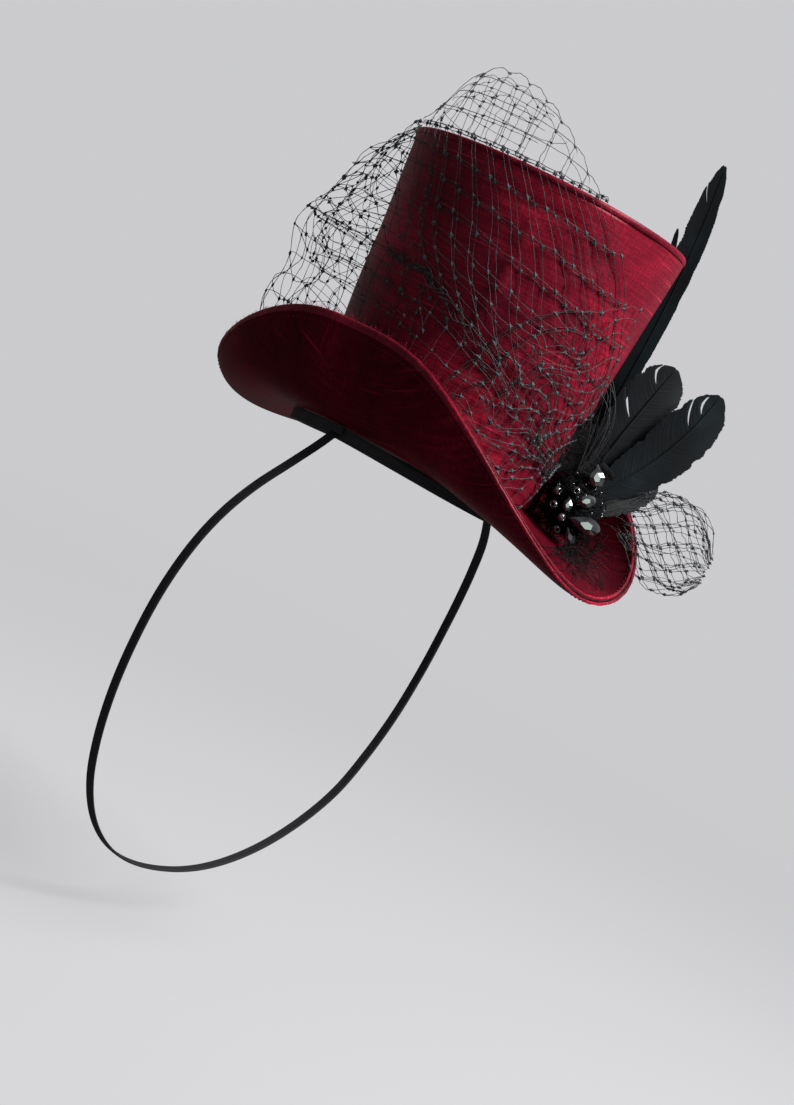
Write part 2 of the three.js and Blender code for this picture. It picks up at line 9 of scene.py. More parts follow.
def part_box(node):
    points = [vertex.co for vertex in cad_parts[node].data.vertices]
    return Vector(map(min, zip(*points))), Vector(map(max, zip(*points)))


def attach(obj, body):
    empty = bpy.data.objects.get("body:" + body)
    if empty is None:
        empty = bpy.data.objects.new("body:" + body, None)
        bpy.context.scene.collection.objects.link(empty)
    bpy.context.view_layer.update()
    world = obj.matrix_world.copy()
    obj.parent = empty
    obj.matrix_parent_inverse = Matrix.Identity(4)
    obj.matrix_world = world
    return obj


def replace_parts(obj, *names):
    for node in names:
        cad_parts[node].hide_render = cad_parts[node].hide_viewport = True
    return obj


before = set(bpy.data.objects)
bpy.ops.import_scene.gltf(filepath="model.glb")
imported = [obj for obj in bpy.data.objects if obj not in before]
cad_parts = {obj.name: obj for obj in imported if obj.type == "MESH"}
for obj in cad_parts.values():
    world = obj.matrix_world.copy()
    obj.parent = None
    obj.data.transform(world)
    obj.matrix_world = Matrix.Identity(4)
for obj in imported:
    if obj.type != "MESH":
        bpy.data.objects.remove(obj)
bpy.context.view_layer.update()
mm = 0.001
root = "root"
print("frame loaded:", len(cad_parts), "nodes")


def newObject(name, data):
    made = bpy.data.objects.new(name, data)
    bpy.context.collection.objects.link(made)
    return made


# camera
cameraFit = {
    "azimuth": -52.9,       # degrees round the hat
    "elevation": 4.23,
    "roll": 26.45,          # tilts the hat in the picture
    "distance": 704.54,     # mm from the hat's origin, along the view
    "aimRight": 8.19,       # mm from the origin to the picture's middle
    "aimUp": 32.18,
    "lens": 65.2,           # mm on a 36 mm long side
}


def cameraAxes(fit):
    # Direction to the camera from its azimuth and elevation, then right and up turned by the roll.
    a, e, r = (math.radians(fit[key]) for key in ("azimuth", "elevation", "roll"))
    back = Vector((math.sin(a) * math.cos(e), -math.cos(a) * math.cos(e), math.sin(e)))
    level = Vector((math.cos(a), math.sin(a), 0))
    upright = back.cross(level)
    right = level * math.cos(r) + upright * math.sin(r)
    up = upright * math.cos(r) - level * math.sin(r)
    return right, up, back


def makeCamera(fit):
    # The camera stands back along the view, shifted so that the picture aims beside the hat.
    right, up, back = cameraAxes(fit)
    camera = newObject("camera", bpy.data.cameras.new("camera"))
    camera.data.lens = fit["lens"]
    camera.data.sensor_width = 36
    camera.data.clip_start = 0.01
    place = back * fit["distance"] - right * fit["aimRight"] - up * fit["aimUp"]
    turn = Matrix((right, up, back)).transposed()
    camera.matrix_world = Matrix.Translation(place * mm) @ turn.to_4x4()
    bpy.context.scene.camera = camera


makeCamera(cameraFit)
print("camera placed")


# grids and meshes
def fullTurn(count):
    # Radians at even steps round a circle.
    return np.linspace(0, 2 * np.pi, count, endpoint=False)


def spokeAngles(count):
    # Degrees at even steps round the hat, starting at the back.
    return np.linspace(-180, 180, count, endpoint=False)


def arch(share):
    # Half a sine wave: 0 at both ends, 1 in the middle.
    return np.sin(np.pi * np.clip(share, 0, 1))


def rounded(turn, power):
    # Cosine and sine of a turn to a power below 1: a circle swollen towards its square.
    return [np.sign(part(turn)) * np.abs(part(turn)) ** power for part in (np.cos, np.sin)]


def gridFaces(rows, columns, wrapRows=False, wrapColumns=False):
    # The four corners of each cell of a grid of points, joined end to end where it wraps.
    i = np.arange(rows if wrapRows else rows - 1)[:, None]
    j = np.arange(columns if wrapColumns else columns - 1)[None, :]
    down, along = (i + 1) % rows, (j + 1) % columns
    corners = [i * columns + j, i * columns + along, down * columns + along, down * columns + j]
    return np.stack(corners, -1).reshape(-1, 4)


def ringFaces(points):
    # A section carried all the way round: the grid wraps both ways.
    return gridFaces(*points.shape[:2], wrapRows=True, wrapColumns=True)


def cappedFaces(rows, sides):
    # A tube's faces, with rows of faces across both ends where its sides are even in number.
    faces = gridFaces(rows, sides, wrapColumns=True)
    if sides % 2:
        return faces
    half = np.arange(sides // 2 - 1)
    cap = np.stack([half, half + 1, sides - 2 - half, sides - 1 - half], -1)
    return np.concatenate([faces, cap[:, ::-1], cap + (rows - 1) * sides])


def copied(faces, count, size):
    # The same faces for each of many parts of that size in points.
    return (faces[None] + (np.arange(count) * size)[:, None, None]).reshape(-1, 4)


def outward(points, faces):
    # Faces whose signed volume, a sixth of a . (b x c) summed over triangles, is positive.
    a, b, c, d = (points[faces[:, k]] for k in range(4))
    volume = np.einsum("ij,ij->", a, np.cross(b, c)) + np.einsum("ij,ij->", a, np.cross(c, d))
    return faces if volume > 0 else faces[:, ::-1]


def makePiece(name, points, faces, material, slot, uv=None, smooth=True):
    # Points and the two UV grids come in mm, and the faces are turned outward.
    grid = points.shape[:-1]
    points = points.reshape(-1, 3) * mm
    mesh = bpy.data.meshes.new(name)
    mesh.from_pydata(points.tolist(), [], outward(points, faces).tolist())
    if uv is not None:
        flat = np.stack([np.broadcast_to(axis, grid).ravel() for axis in uv], -1) * mm
        corners = np.empty(len(mesh.loops), dtype=np.int32)
        mesh.loops.foreach_get("vertex_index", corners)
        layer = mesh.uv_layers.new(name="cloth")
        layer.data.foreach_set("uv", flat[corners].astype(np.float32).ravel())
    mesh.polygons.foreach_set("use_smooth", np.full(len(mesh.polygons), smooth))
    mesh.materials.append(material)
    mesh.update()
    piece = newObject(name, mesh)
    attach(piece, root)
    return piece


def secondLook(piece, material, chosen):
    # The chosen faces get a second material.
    piece.data.materials.append(material)
    piece.data.polygons.foreach_set("material_index", chosen.astype(np.int32))


def unit(vectors):
    # Vectors divided by their length.
    length = np.linalg.norm(vectors, axis=-1, keepdims=True)
    return vectors / np.maximum(length, 1e-12)


tubeForm = {"rise": (0.31, 0.17, 0.94), "endShare": 0.02}


def tubes(paths, radius, sides):
    # Many closed tubes at once: each path point gets a ring round its tangent, and the rings of
    # the two ends shrink to a point. paths is count x points x 3, radius a number or count x points.
    tangent = unit(np.gradient(paths, axis=1))
    side = unit(np.cross(tangent, tubeForm["rise"]))
    lift = np.cross(tangent, side)
    count, steps, _ = paths.shape
    thick = np.broadcast_to(np.asarray(radius, dtype=float), (count, steps)).copy()
    thick[:, [0, -1]] *= tubeForm["endShare"]
    angle = fullTurn(sides)[:, None]
    ring = side[..., None, :] * np.cos(angle) + lift[..., None, :] * np.sin(angle)
    points = paths[:, :, None, :] + ring * thick[:, :, None, None]
    return points.reshape(-1, 3), copied(cappedFaces(steps, sides), count, steps * sides)


def joined(parts):
    # Point and face arrays of several parts as one pair of arrays.
    starts = np.cumsum([0] + [len(points) for points, _ in parts[:-1]])
    points = np.concatenate([points for points, _ in parts])
    faces = np.concatenate([faces + start for (_, faces), start in zip(parts, starts)])
    return points, faces


def smoothStep(low, high, value):
    # Rises from 0 to 1 between two values, level at both: 3 s^2 - 2 s^3.
    share = np.clip((value - low) / (high - low), 0, 1)
    return share * share * (3 - 2 * share)


def around(angle, radius, z):
    # A point at an angle in degrees from the front, positive towards the wearer's left.
    turn = np.radians(angle)
    angle, radius, z = np.broadcast_arrays(turn, radius, z)
    return np.stack([radius * np.sin(angle), -radius * np.cos(angle), z], -1)


def curveAt(rows, share):
    # Smooth values of a table's columns along its first: a Catmull-Rom curve through its rows.
    places, *columns = np.array(rows, dtype=float).T
    share = np.clip(share, 0, 1)
    k = np.clip(np.searchsorted(places, share, side="right") - 1, 0, len(places) - 2)
    t = (share - places[k]) / (places[k + 1] - places[k])
    results = []
    for values in columns:
        before, after = values[np.maximum(k - 1, 0)], values[np.minimum(k + 2, len(values) - 1)]
        here, there = values[k], values[k + 1]
        slopeHere, slopeThere = (there - before) / 2, (after - here) / 2
        results.append(
            (2 * t**3 - 3 * t**2 + 1) * here
            + (t**3 - 2 * t**2 + t) * slopeHere
            + (3 * t**2 - 2 * t**3) * there
            + (t**3 - t**2) * slopeThere
        )
    return results


# hat's main form, in mm
hatForm = {
    "footRadius": 43.2, "topRadius": 51.6, "height": 103, "wall": 1.6,
    "brimHalfLength": 87, "brimHalfWidth": 60, "brimSquareness": 2.5, "brimHalfStack": 1.15,
    "sideLift": 33, "frontDrop": 14.5, "backDrop": 6, "rollPower": 3.3, "rollStart": 0.85,
    "sideFootSlope": 5, "frontFootSlope": -23.5, "backFootSlope": -20,
}


def crownRadius(z):
    # The crown widens in a straight line from its foot to its top.
    share = z / hatForm["height"]
    return hatForm["footRadius"] + (hatForm["topRadius"] - hatForm["footRadius"]) * share


def footSlope(angle):
    # Degrees at the crown: the side's slope, turned to the front's or back's by the cosine squared.
    cosine = np.cos(np.radians(angle))
    end = np.where(cosine > 0, hatForm["frontFootSlope"], hatForm["backFootSlope"])
    return hatForm["sideFootSlope"] + (end - hatForm["sideFootSlope"]) * cosine**2


def brimMiddle(angle, share):
    # Edge: a superellipse in plan whose height falls from the sides to the front and back. Each
    # spoke is a quadratic curve that leaves the crown at the foot slope and ends at the edge.
    form = hatForm
    foot, square = form["footRadius"], form["brimSquareness"]
    cosine, sine = np.cos(np.radians(angle)), np.sin(np.radians(angle))
    wide = np.abs(sine / form["brimHalfWidth"]) ** square
    long = np.abs(cosine / form["brimHalfLength"]) ** square
    edgeRadius = (wide + long) ** (-1 / square)
    drop = np.where(cosine > 0, form["frontDrop"], form["backDrop"])
    rise = form["sideLift"] - (form["sideLift"] + drop) * np.abs(cosine) ** form["rollPower"]
    reach = (edgeRadius - foot) * form["rollStart"]
    bendRise = reach * np.tan(np.radians(footSlope(angle)))
    middleShare = 2 * share * (1 - share)
    radius = foot * (1 - share) ** 2 + middleShare * (foot + reach) + share**2 * edgeRadius
    return around(angle, radius, middleShare * bendRise + share**2 * rise)


def brimNormal(angle, share):
    # Across the brim: the product of its two directions, each from points a small step apart.
    step = 0.01
    along = brimMiddle(angle + step, share) - brimMiddle(angle - step, share)
    across = brimMiddle(angle, share + step) - brimMiddle(angle, share - step)
    return unit(np.cross(across, along))


def brimHeightAt(angle, radius):
    # The spoke's share at a radius comes from its quadratic, then its height there.
    foot, bend = hatForm["footRadius"], hatForm["rollStart"]
    edge = np.linalg.norm(brimMiddle(angle, np.ones_like(angle))[..., :2], axis=-1)
    wanted = np.clip((radius - foot) / (edge - foot), 0, 1)
    share = (np.sqrt(bend**2 + (1 - 2 * bend) * wanted) - bend) / (1 - 2 * bend)
    return brimMiddle(angle, share)[..., 2]


trimHeading = 37


def fromTrim(out, aside, up):
    # A point out along the trim's heading, aside of it towards the back, and up.
    return around(trimHeading, out, up) + around(trimHeading + 90, aside, 0)


# materials
def setInputs(node, values):
    for key, value in values.items():
        node.inputs[key].default_value = value


def newMaterial(name, values):
    material = bpy.data.materials.new(name)
    material.use_nodes = True
    shader = material.node_tree.nodes["Principled BSDF"]
    setInputs(shader, values)
    return material, material.node_tree, shader


def addNode(tree, kind, values={}, **settings):
    node = tree.nodes.new("ShaderNode" + kind)
    for key, value in settings.items():
        setattr(node, key, value)
    setInputs(node, values)
    return node


def noise(tree, kind, stretch, scale, detail, roughness):
    # A noise over UV or Object coordinates that are stretched by a factor for each axis.
    source = addNode(tree, "TexCoord")
    mapping = addNode(tree, "Mapping", {"Scale": stretch})
    node = addNode(tree, "TexNoise", {"Scale": scale, "Detail": detail, "Roughness": roughness})
    tree.links.new(source.outputs[kind], mapping.inputs["Vector"])
    tree.links.new(mapping.outputs["Vector"], node.inputs["Vector"])
    return node.outputs["Fac"]


def ramp(tree, factor, stops):
    # Colours at places along a value, blended in between.
    node = addNode(tree, "ValToRGB")
    while len(node.color_ramp.elements) < len(stops):
        node.color_ramp.elements.new(0.5)
    for element, (place, colour) in zip(node.color_ramp.elements, stops):
        element.position = place
        element.color = (*colour, 1)
    tree.links.new(factor, node.inputs["Fac"])
    return node.outputs["Color"]


def mixed(tree, kind, first, second, share):
    # A weighted sum of two values or colours, by a number or by a node's output.
    node = addNode(tree, "Mix", data_type=kind)
    tree.links.new(first, node.inputs["A"])
    tree.links.new(second, node.inputs["B"])
    if isinstance(share, float):
        node.inputs["Factor"].default_value = share
    else:
        tree.links.new(share, node.inputs["Factor"])
    return node.outputs["Result"]


def tint(tree, shader, factor, stops):
    # The shader's colour follows a ramp over a value.
    tree.links.new(ramp(tree, factor, stops), shader.inputs["Base Color"])


def bump(tree, shader, height, strength, depth):
    node = addNode(tree, "Bump", {"Strength": strength, "Distance": depth})
    tree.links.new(height, node.inputs["Height"])
    tree.links.new(node.outputs["Normal"], shader.inputs["Normal"])


silkLook = {
    "dark": (0.05, 0.0022, 0.0075),
    "middle": (0.15, 0.0052, 0.0165),
    "bright": (0.4, 0.014, 0.038),
    "slub": (0.62, 0.03, 0.075),
    "slubPerMetre": 420, "threadPerMetre": 1500, "patchPerMetre": 26,
    "warpShare": 0.35, "grainShare": 0.4, "patchShare": 0.42,
}


def silkMaterial(name, shade, gloss):
    # Warp and weft are noises stretched along each way of the cloth, over a fine cross weave, and
    # the few highest places of a longer noise are bright slubs.
    look = silkLook
    material, tree, shader = newMaterial(name, {
        "Roughness": 0.4, "Specular IOR Level": gloss, "Specular Tint": (1, 0.42, 0.46, 1),
        "Sheen Weight": 0.12, "Sheen Roughness": 0.35, "Sheen Tint": (0.9, 0.12, 0.18, 1),
    })
    weft = noise(tree, "UV", (0.22, 2.4, 1), look["slubPerMetre"], 3.0, 0.6)
    warp = noise(tree, "UV", (2.6, 0.35, 1), look["slubPerMetre"], 2.0, 0.6)
    grain = noise(tree, "UV", (1, 1, 1), look["threadPerMetre"], 2.0, 0.7)
    long = noise(tree, "UV", (0.06, 3.6, 1), look["slubPerMetre"], 1.0, 0.5)
    # This broad noise, mixed strongly into the tone, spreads the colour from its dark to its bright stops in
    # large blotches: partly the cloth's uneven tone and partly painted shade and painted highlights of
    # wrinkles.
    patch = noise(tree, "UV", (1, 1, 1), look["patchPerMetre"], 2.0, 0.5)
    weave = mixed(tree, "FLOAT", weft, warp, look["warpShare"])
    cloth = mixed(tree, "FLOAT", weave, grain, look["grainShare"])
    tone = mixed(tree, "FLOAT", cloth, patch, look["patchShare"])
    dark, middle, bright, slub = (
        tuple(v * shade for v in look[key]) for key in ("dark", "middle", "bright", "slub")
    )
    colour = ramp(tree, tone, [(0.38, dark), (0.52, middle), (0.66, bright)])
    slubs = ramp(tree, long, [(0.68, (0, 0, 0)), (0.77, (0.6, 0.6, 0.6))])
    plain = addNode(tree, "RGB")
    plain.outputs[0].default_value = (*slub, 1)
    colour = mixed(tree, "RGBA", colour, plain.outputs[0], slubs)
    tree.links.new(colour, shader.inputs["Base Color"])
    bump(tree, shader, cloth, 0.5, 0.0004)
    return material


def plainCloth(name, colour, roughness, threads, stretch):
    # A dark cloth with fine ribs: a noise stretched along one way of the piece's own UV map.
    material, tree, shader = newMaterial(name, {"Roughness": roughness, "Specular IOR Level": 0.25})
    rib = noise(tree, "UV", stretch, threads, 2.0, 0.5)
    tint(tree, shader, rib, [(0.35, colour), (0.7, tuple(v * 2.2 for v in colour))])
    bump(tree, shader, rib, 0.6, 0.0004)
    return material


def threadMaterial(name, dark, light, roughness, gloss):
    # Two close tones and a fine bump, both from one fibre noise.
    material, tree, shader = newMaterial(name, {"Roughness": roughness, "Specular IOR Level": gloss})
    fibre = noise(tree, "Object", (1, 1, 1), 900, 2.0, 0.6)
    tint(tree, shader, fibre, [(0.35, dark), (0.65, light)])
    bump(tree, shader, fibre, 0.4, 0.0002)
    return material


# One silk in several copies: shade scales all its tones, so darker and lighter copies are painted shade and
# painted highlight.
crownSilk = silkMaterial("crown_silk", 1.1, 0.16)
# A darker copy of the crown's silk for the brim's lower ply: painted shade.
shadedBrimSilk = silkMaterial("brim_silk_painted_shade", 0.52, 0.02)
# A still darker copy for the brim's upper ply: painted shade.
shadedInnerSilk = silkMaterial("inner_silk_painted_shade", 0.36, 0.02)
# A lighter copy for the brim's rolled edge, its stitches and its fibres: a painted highlight.
highlightEdgeSilk = silkMaterial("edge_silk_painted_highlight", 1.2, 0.2)
bandRibbon = plainCloth("band_ribbon", (0.012, 0.012, 0.014), 0.75, 700, (0.1, 6, 1))
strapElastic = plainCloth("strap_elastic", (0.011, 0.011, 0.013), 0.8, 500, (0.3, 12, 1))
netThread = threadMaterial("net_thread", (0.012, 0.013, 0.015), (0.04, 0.044, 0.047), 0.6, 0.3)
netKnot = threadMaterial("net_knot", (0.025, 0.03, 0.034), (0.068, 0.08, 0.086), 0.8, 0.3)
darkThread = threadMaterial("dark_thread", (0.002, 0.002, 0.003), (0.008, 0.009, 0.01), 0.75, 0.1)
print("materials made")


# strap: a flat elastic loop, the cord. Points of the right half in mm, mirrored to the left.
strapSize = {"width": 3.8, "thickness": 1.1, "ribs": 3, "ribDepth": 0.12, "steps": 260, "squareness": 0.55}
strapRoute = [
    (-48.9, 0, -3.6), (-53, 0.4, -9), (-59.5, 2, -18), (-66.5, 5.5, -30), (-71.5, 8.5, -42),
    (-75, 11, -56), (-77, 13, -74), (-76.5, 14.5, -94), (-73.5, 16, -113), (-68, 17.5, -131),
    (-59, 20, -147), (-46, 22.5, -161), (-30, 24.5, -171), (-12, 25.5, -176),
]


def smoothRoute(points, steps):
    # Centripetal Catmull-Rom curve through the points, then evened out by its own length.
    points = np.vstack([2 * points[0] - points[1], points, 2 * points[-1] - points[-2]])
    pieces = []
    for a, b, c, d in zip(points[:-3], points[1:-2], points[2:-1], points[3:]):
        knots = np.cumsum([0] + [np.linalg.norm(q - p) ** 0.5 for p, q in ((a, b), (b, c), (c, d))])
        t = np.linspace(knots[1], knots[2], 24, endpoint=False)[:, None]
        ab = ((knots[1] - t) * a + (t - knots[0]) * b) / (knots[1] - knots[0])
        bc = ((knots[2] - t) * b + (t - knots[1]) * c) / (knots[2] - knots[1])
        cd = ((knots[3] - t) * c + (t - knots[2]) * d) / (knots[3] - knots[2])
        left = ((knots[2] - t) * ab + (t - knots[0]) * bc) / (knots[2] - knots[0])
        right = ((knots[3] - t) * bc + (t - knots[1]) * cd) / (knots[3] - knots[1])
        pieces.append(((knots[2] - t) * left + (t - knots[1]) * right) / (knots[2] - knots[1]))
    line = np.vstack([*pieces, points[-2:-1]])
    travelled = np.concatenate([[0], np.cumsum(np.linalg.norm(np.diff(line, axis=0), axis=1))])
    even = np.linspace(0, travelled[-1], steps)
    return np.stack([np.interp(even, travelled, line[:, k]) for k in range(3)], -1), travelled[-1]


def makeStrap(size):
    # A flat section with raised ribs on both faces, carried along the route with its width level
    # with the head's back, as the solid strap's is.
    right = np.array(strapRoute, dtype=float)
    left = right[::-1] * (-1, 1, 1)
    line, length = smoothRoute(np.vstack([right, left]), size["steps"])
    tangent = unit(np.gradient(line, axis=0))
    wide = unit(np.cross(tangent, np.cross(np.array([0.0, 1.0, 0.0]), tangent)))
    thick = np.cross(tangent, wide)
    across, through = rounded(fullTurn(48), size["squareness"])
    rib = 1 - size["ribDepth"] * (1 + np.cos(2 * np.pi * size["ribs"] * across / 2 + np.pi))
    x, y = across * size["width"] / 2, through * rib * size["thickness"] / 2
    points = line[:, None] + wide[:, None] * x[None, :, None] + thick[:, None] * y[None, :, None]
    uv = np.linspace(0, length, size["steps"])[:, None], x[None]
    faces = cappedFaces(size["steps"], len(x))
    strap = makePiece("strap_cord", points, faces, strapElastic, "elastic", uv)
    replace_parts(strap, "elastic_strap")
    print("strap length, mm:", round(length, 1))


makeStrap(strapSize)


# crown: a wall of cloth-covered stiffening with soft creases
crownCover = {
    "around": 260, "rows": 96, "innerRows": 24,
    "foot": 1.45,           # mm above the brim's middle
    "top": 101.1, "lip": 0.5, "lipOut": 0.1, "cloth": 0.2, "ripple": 0.16,
    "creases": [
        {"angle": -84, "z": 92, "toAngle": -74, "toZ": 100, "depth": 1.0, "width": 2.8},
        {"angle": -57, "z": 42, "toAngle": -54, "toZ": 90, "depth": 0.85, "width": 2.4},
        {"angle": -74, "z": 90, "toAngle": -34, "toZ": 93, "depth": -1.0, "width": 2.6},
        {"angle": -40, "z": 70, "toAngle": -18, "toZ": 84, "depth": 0.8, "width": 3.0},
        {"angle": -20, "z": 30, "toAngle": 4, "toZ": 62, "depth": -0.75, "width": 3.8},
        {"angle": 30, "z": 24, "toAngle": 52, "toZ": 88, "depth": 0.5, "width": 4.0},
        {"angle": 96, "z": 12, "toAngle": 110, "toZ": 60, "depth": -0.5, "width": 4.0},
        {"angle": 150, "z": 40, "toAngle": 128, "toZ": 94, "depth": 0.6, "width": 3.6},
        {"angle": -150, "z": 20, "toAngle": -128, "toZ": 76, "depth": 0.5, "width": 4.2},
    ],
}


def crownCreases(angle, z):
    # Each crease is a bell-shaped ridge round a straight line drawn on the unrolled wall.
    unrolled = hatForm["topRadius"]
    arc = np.radians(angle) * unrolled
    rise = np.sin(np.radians(5 * angle) + z * 0.05) + 0.6 * np.sin(np.radians(11 * angle) - z * 0.11)
    rise = crownCover["ripple"] * rise
    for crease in crownCover["creases"]:
        start = np.array([math.radians(crease["angle"]) * unrolled, crease["z"]])
        end = np.array([math.radians(crease["toAngle"]) * unrolled, crease["toZ"]])
        along = end - start
        share = ((arc - start[0]) * along[0] + (z - start[1]) * along[1]) / (along @ along)
        share = np.clip(share, 0, 1)
        away = np.hypot(arc - start[0] - share * along[0], z - start[1] - share * along[1])
        fade = arch(np.clip(share, 0.02, 0.98))
        rise = rise + crease["depth"] * fade * np.exp(-((away / crease["width"]) ** 2))
    return rise


def makeCrown(cover):
    # The profile goes up the outer wall, over a rounded top and down the inner wall, round Z.
    angle = spokeAngles(cover["around"])[:, None]
    foot, top, half = cover["foot"], cover["top"] - cover["lip"], hatForm["wall"] / 2
    z, inside = np.linspace(foot, top, cover["rows"]), np.linspace(top, foot, cover["innerRows"])
    edge = np.linspace(0, np.pi, 8)[1:-1]
    outer = crownRadius(z) + cover["cloth"] + crownCreases(angle, z)
    cap = crownRadius(cover["top"]) - half + (half + cover["lipOut"]) * np.cos(edge)
    ones = np.ones_like(angle)
    radius = np.hstack([outer, ones * cap, ones * (crownRadius(inside) - 2 * half)])
    height = ones * np.concatenate([z, top + cover["lip"] * np.sin(edge), inside])
    points = around(angle, radius, height)
    uv = np.radians(angle) * hatForm["footRadius"], height
    crown = makePiece("crown_cover", points, ringFaces(points), crownSilk, "silk", uv)
    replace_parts(crown, "crown_side")


tipCover = {
    "around": 260, "rings": 30, "radius": 52.2, "top": 103, "depth": 2.4, "roll": 0.75,
    "wrinkle": 0.21, "dip": 0.25, "thickness": 1.5,
}


def makeTip(cover):
    # A flat disc whose profile rolls over the rim and comes back underneath to its middle.
    angle = spokeAngles(cover["around"])[:, None]
    outside, top, under = cover["radius"], cover["top"], cover["top"] - cover["thickness"]
    share = np.linspace(0.02, 1, cover["rings"])
    flatZ = top - cover["dip"] - 0.12 * np.sin(np.pi * share * 3)
    roll = np.radians(np.linspace(90, -90, 9)[1:-1])
    rollRadius = outside - cover["roll"] * (1 - np.cos(roll))
    rollZ = top - cover["depth"] / 2 + np.sin(roll) * cover["depth"] / 2
    backZ = [top - 2.2, under, under, under]
    backRadius = [outside - 0.9, outside - 0.9, 30, 1]
    radius = np.concatenate([share * (outside - cover["roll"]), rollRadius, backRadius])
    crumple = np.sin(np.radians(7 * angle) + radius * 0.13) * np.sin(np.radians(3 * angle) - radius * 0.21)
    onTop = np.arange(len(radius)) < len(share)
    z = np.concatenate([flatZ, rollZ, backZ]) + cover["wrinkle"] * crumple * onTop * radius / outside
    points = around(angle, radius, z).reshape(-1, 3)
    uv = points[:, :2] + np.stack([0 * points[:, 2], points[:, 2] - top], -1)
    rows, last = len(radius), len(radius) - 1
    faces = gridFaces(len(angle), rows, wrapRows=True)
    spokes = np.arange(0, len(angle), 2) * rows
    after, far = (np.roll(np.arange(len(angle)), -k)[::2] * rows for k in (1, 2))
    centre = np.full_like(spokes, len(points))
    caps = [
        np.stack([centre, far, after, spokes], -1),
        np.stack([centre + 1, spokes + last, after + last, far + last], -1),
    ]
    points = np.vstack([points, [[0, 0, top - cover["dip"]], [0, 0, under]]])
    uv = np.vstack([uv, np.zeros((2, 2))]).T
    tip = makePiece("tip_cover", points, np.concatenate([faces, *caps]), crownSilk, "silk", uv)
    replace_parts(tip, "crown_top")


makeCrown(crownCover)
makeTip(tipCover)
print("crown made")


# brim: two plies whose rolled edges leave a dark groove between them
brimCover = {
    "around": 340, "across": 40, "rollFrom": 0.985, "highlightFrom": 0.972,
    "near": 0.16,           # mm from the middle surface to a ply's inner face
    "far": 1.15, "ripple": 0.22, "swell": 0.42, "groove": 0.3,
    "edgeLength": 480, "stitchInset": 2.6, "stitchPitch": 2.3, "stitchLength": 1.5, "stitchThread": 0.13,
    # Where the groove's dark thread sits and how thick it is: painted shade of the groove.
    "grooveShadeShare": 0.991, "grooveShadeThread": 0.31,
    "frayCount": 800, "frayLength": 1.3, "frayThread": 0.055,
    "reach": 36,            # mm across the brim, for shares of it
}


def brimRipple(angle, share):
    # Slow waves round the brim and across it, strongest halfway out.
    wave = np.sin(np.radians(4 * angle) + 5 * share) + 0.6 * np.sin(np.radians(9 * angle) - 7 * share)
    return brimCover["ripple"] * wave * arch(share)


def brimPoints(angle, share, depth):
    # Off the middle surface by a depth along its normal; shares below 0 lie under the crown's wall.
    inner = np.minimum(share, 0)
    points = brimMiddle(angle, np.maximum(share, 0))
    flat = around(angle, hatForm["footRadius"] + inner * hatForm["wall"], 0)
    points = np.where((share < 0)[..., None], flat, points)
    lift = depth + brimRipple(angle, share)
    return points + brimNormal(angle, np.clip(share, 0.02, 0.99)) * lift[..., None]


def makeBrimPly(name, side, node, material):
    # The section goes out along the near face, round the rolled edge and back along the far face.
    cover = brimCover
    angle = spokeAngles(cover["around"])[:, None]
    out = np.concatenate([[-1, -0.4], np.linspace(0, cover["rollFrom"], cover["across"])])
    turn = np.radians(np.linspace(0, 180, 11)[1:-1])
    middle, half = (cover["near"] + cover["far"]) / 2, (cover["far"] - cover["near"]) / 2
    share = np.concatenate([out, cover["rollFrom"] + 0.018 * np.sin(turn), out[::-1]]) + 0 * angle
    near, far = (np.full(len(out), cover[key]) for key in ("near", "far"))
    depth = np.concatenate([near, middle - (half + 0.25 * np.sin(turn)) * np.cos(turn), far])
    swell = cover["swell"] * np.exp(-(((share - 0.975) / 0.013) ** 2)) * (depth > middle)
    swell = swell * (1 + 0.3 * np.sin(np.radians(83 * angle)) + 0.2 * np.sin(np.radians(61 * angle + 40)))
    groove = cover["groove"] * smoothStep(0.975, 0.995, share) * (depth < middle)
    points = brimPoints(angle + 0 * share, share, side * (depth + swell + groove))
    faces = ringFaces(points)
    ply = makePiece(name, points, faces, material, "silk", (points[..., 1], 1.2 * points[..., 0]))
    # Faces on the rolled edge get the lighter edge silk: a painted highlight.
    secondLook(ply, highlightEdgeSilk, share.ravel()[faces].mean(axis=1) > cover["highlightFrom"])
    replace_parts(ply, node)


def makeBrimStitches(cover):
    # Short stitches in a row along the edge: each is a low arch over the upper ply, and there is
    # a second row along the lower ply.
    angle = spokeAngles(int(cover["edgeLength"] / cover["stitchPitch"]))[:, None]
    half = 0.5 * cover["stitchLength"] / cover["edgeLength"] * 360
    angle = angle + np.linspace(-half, half, 6)
    share = np.full(angle.shape, 1 - cover["stitchInset"] / cover["reach"])
    lift = 0.02 + 0.14 * np.sin(np.linspace(0, np.pi, 6))
    parts = [
        tubes(brimPoints(angle, share, side * (cover["far"] + lift) + 0 * angle), cover["stitchThread"], 6)
        for side in (1, -1)
    ]
    # The stitches take the lighter edge silk: a painted highlight.
    makePiece("brim_stitches", *joined(parts), highlightEdgeSilk, "silk")


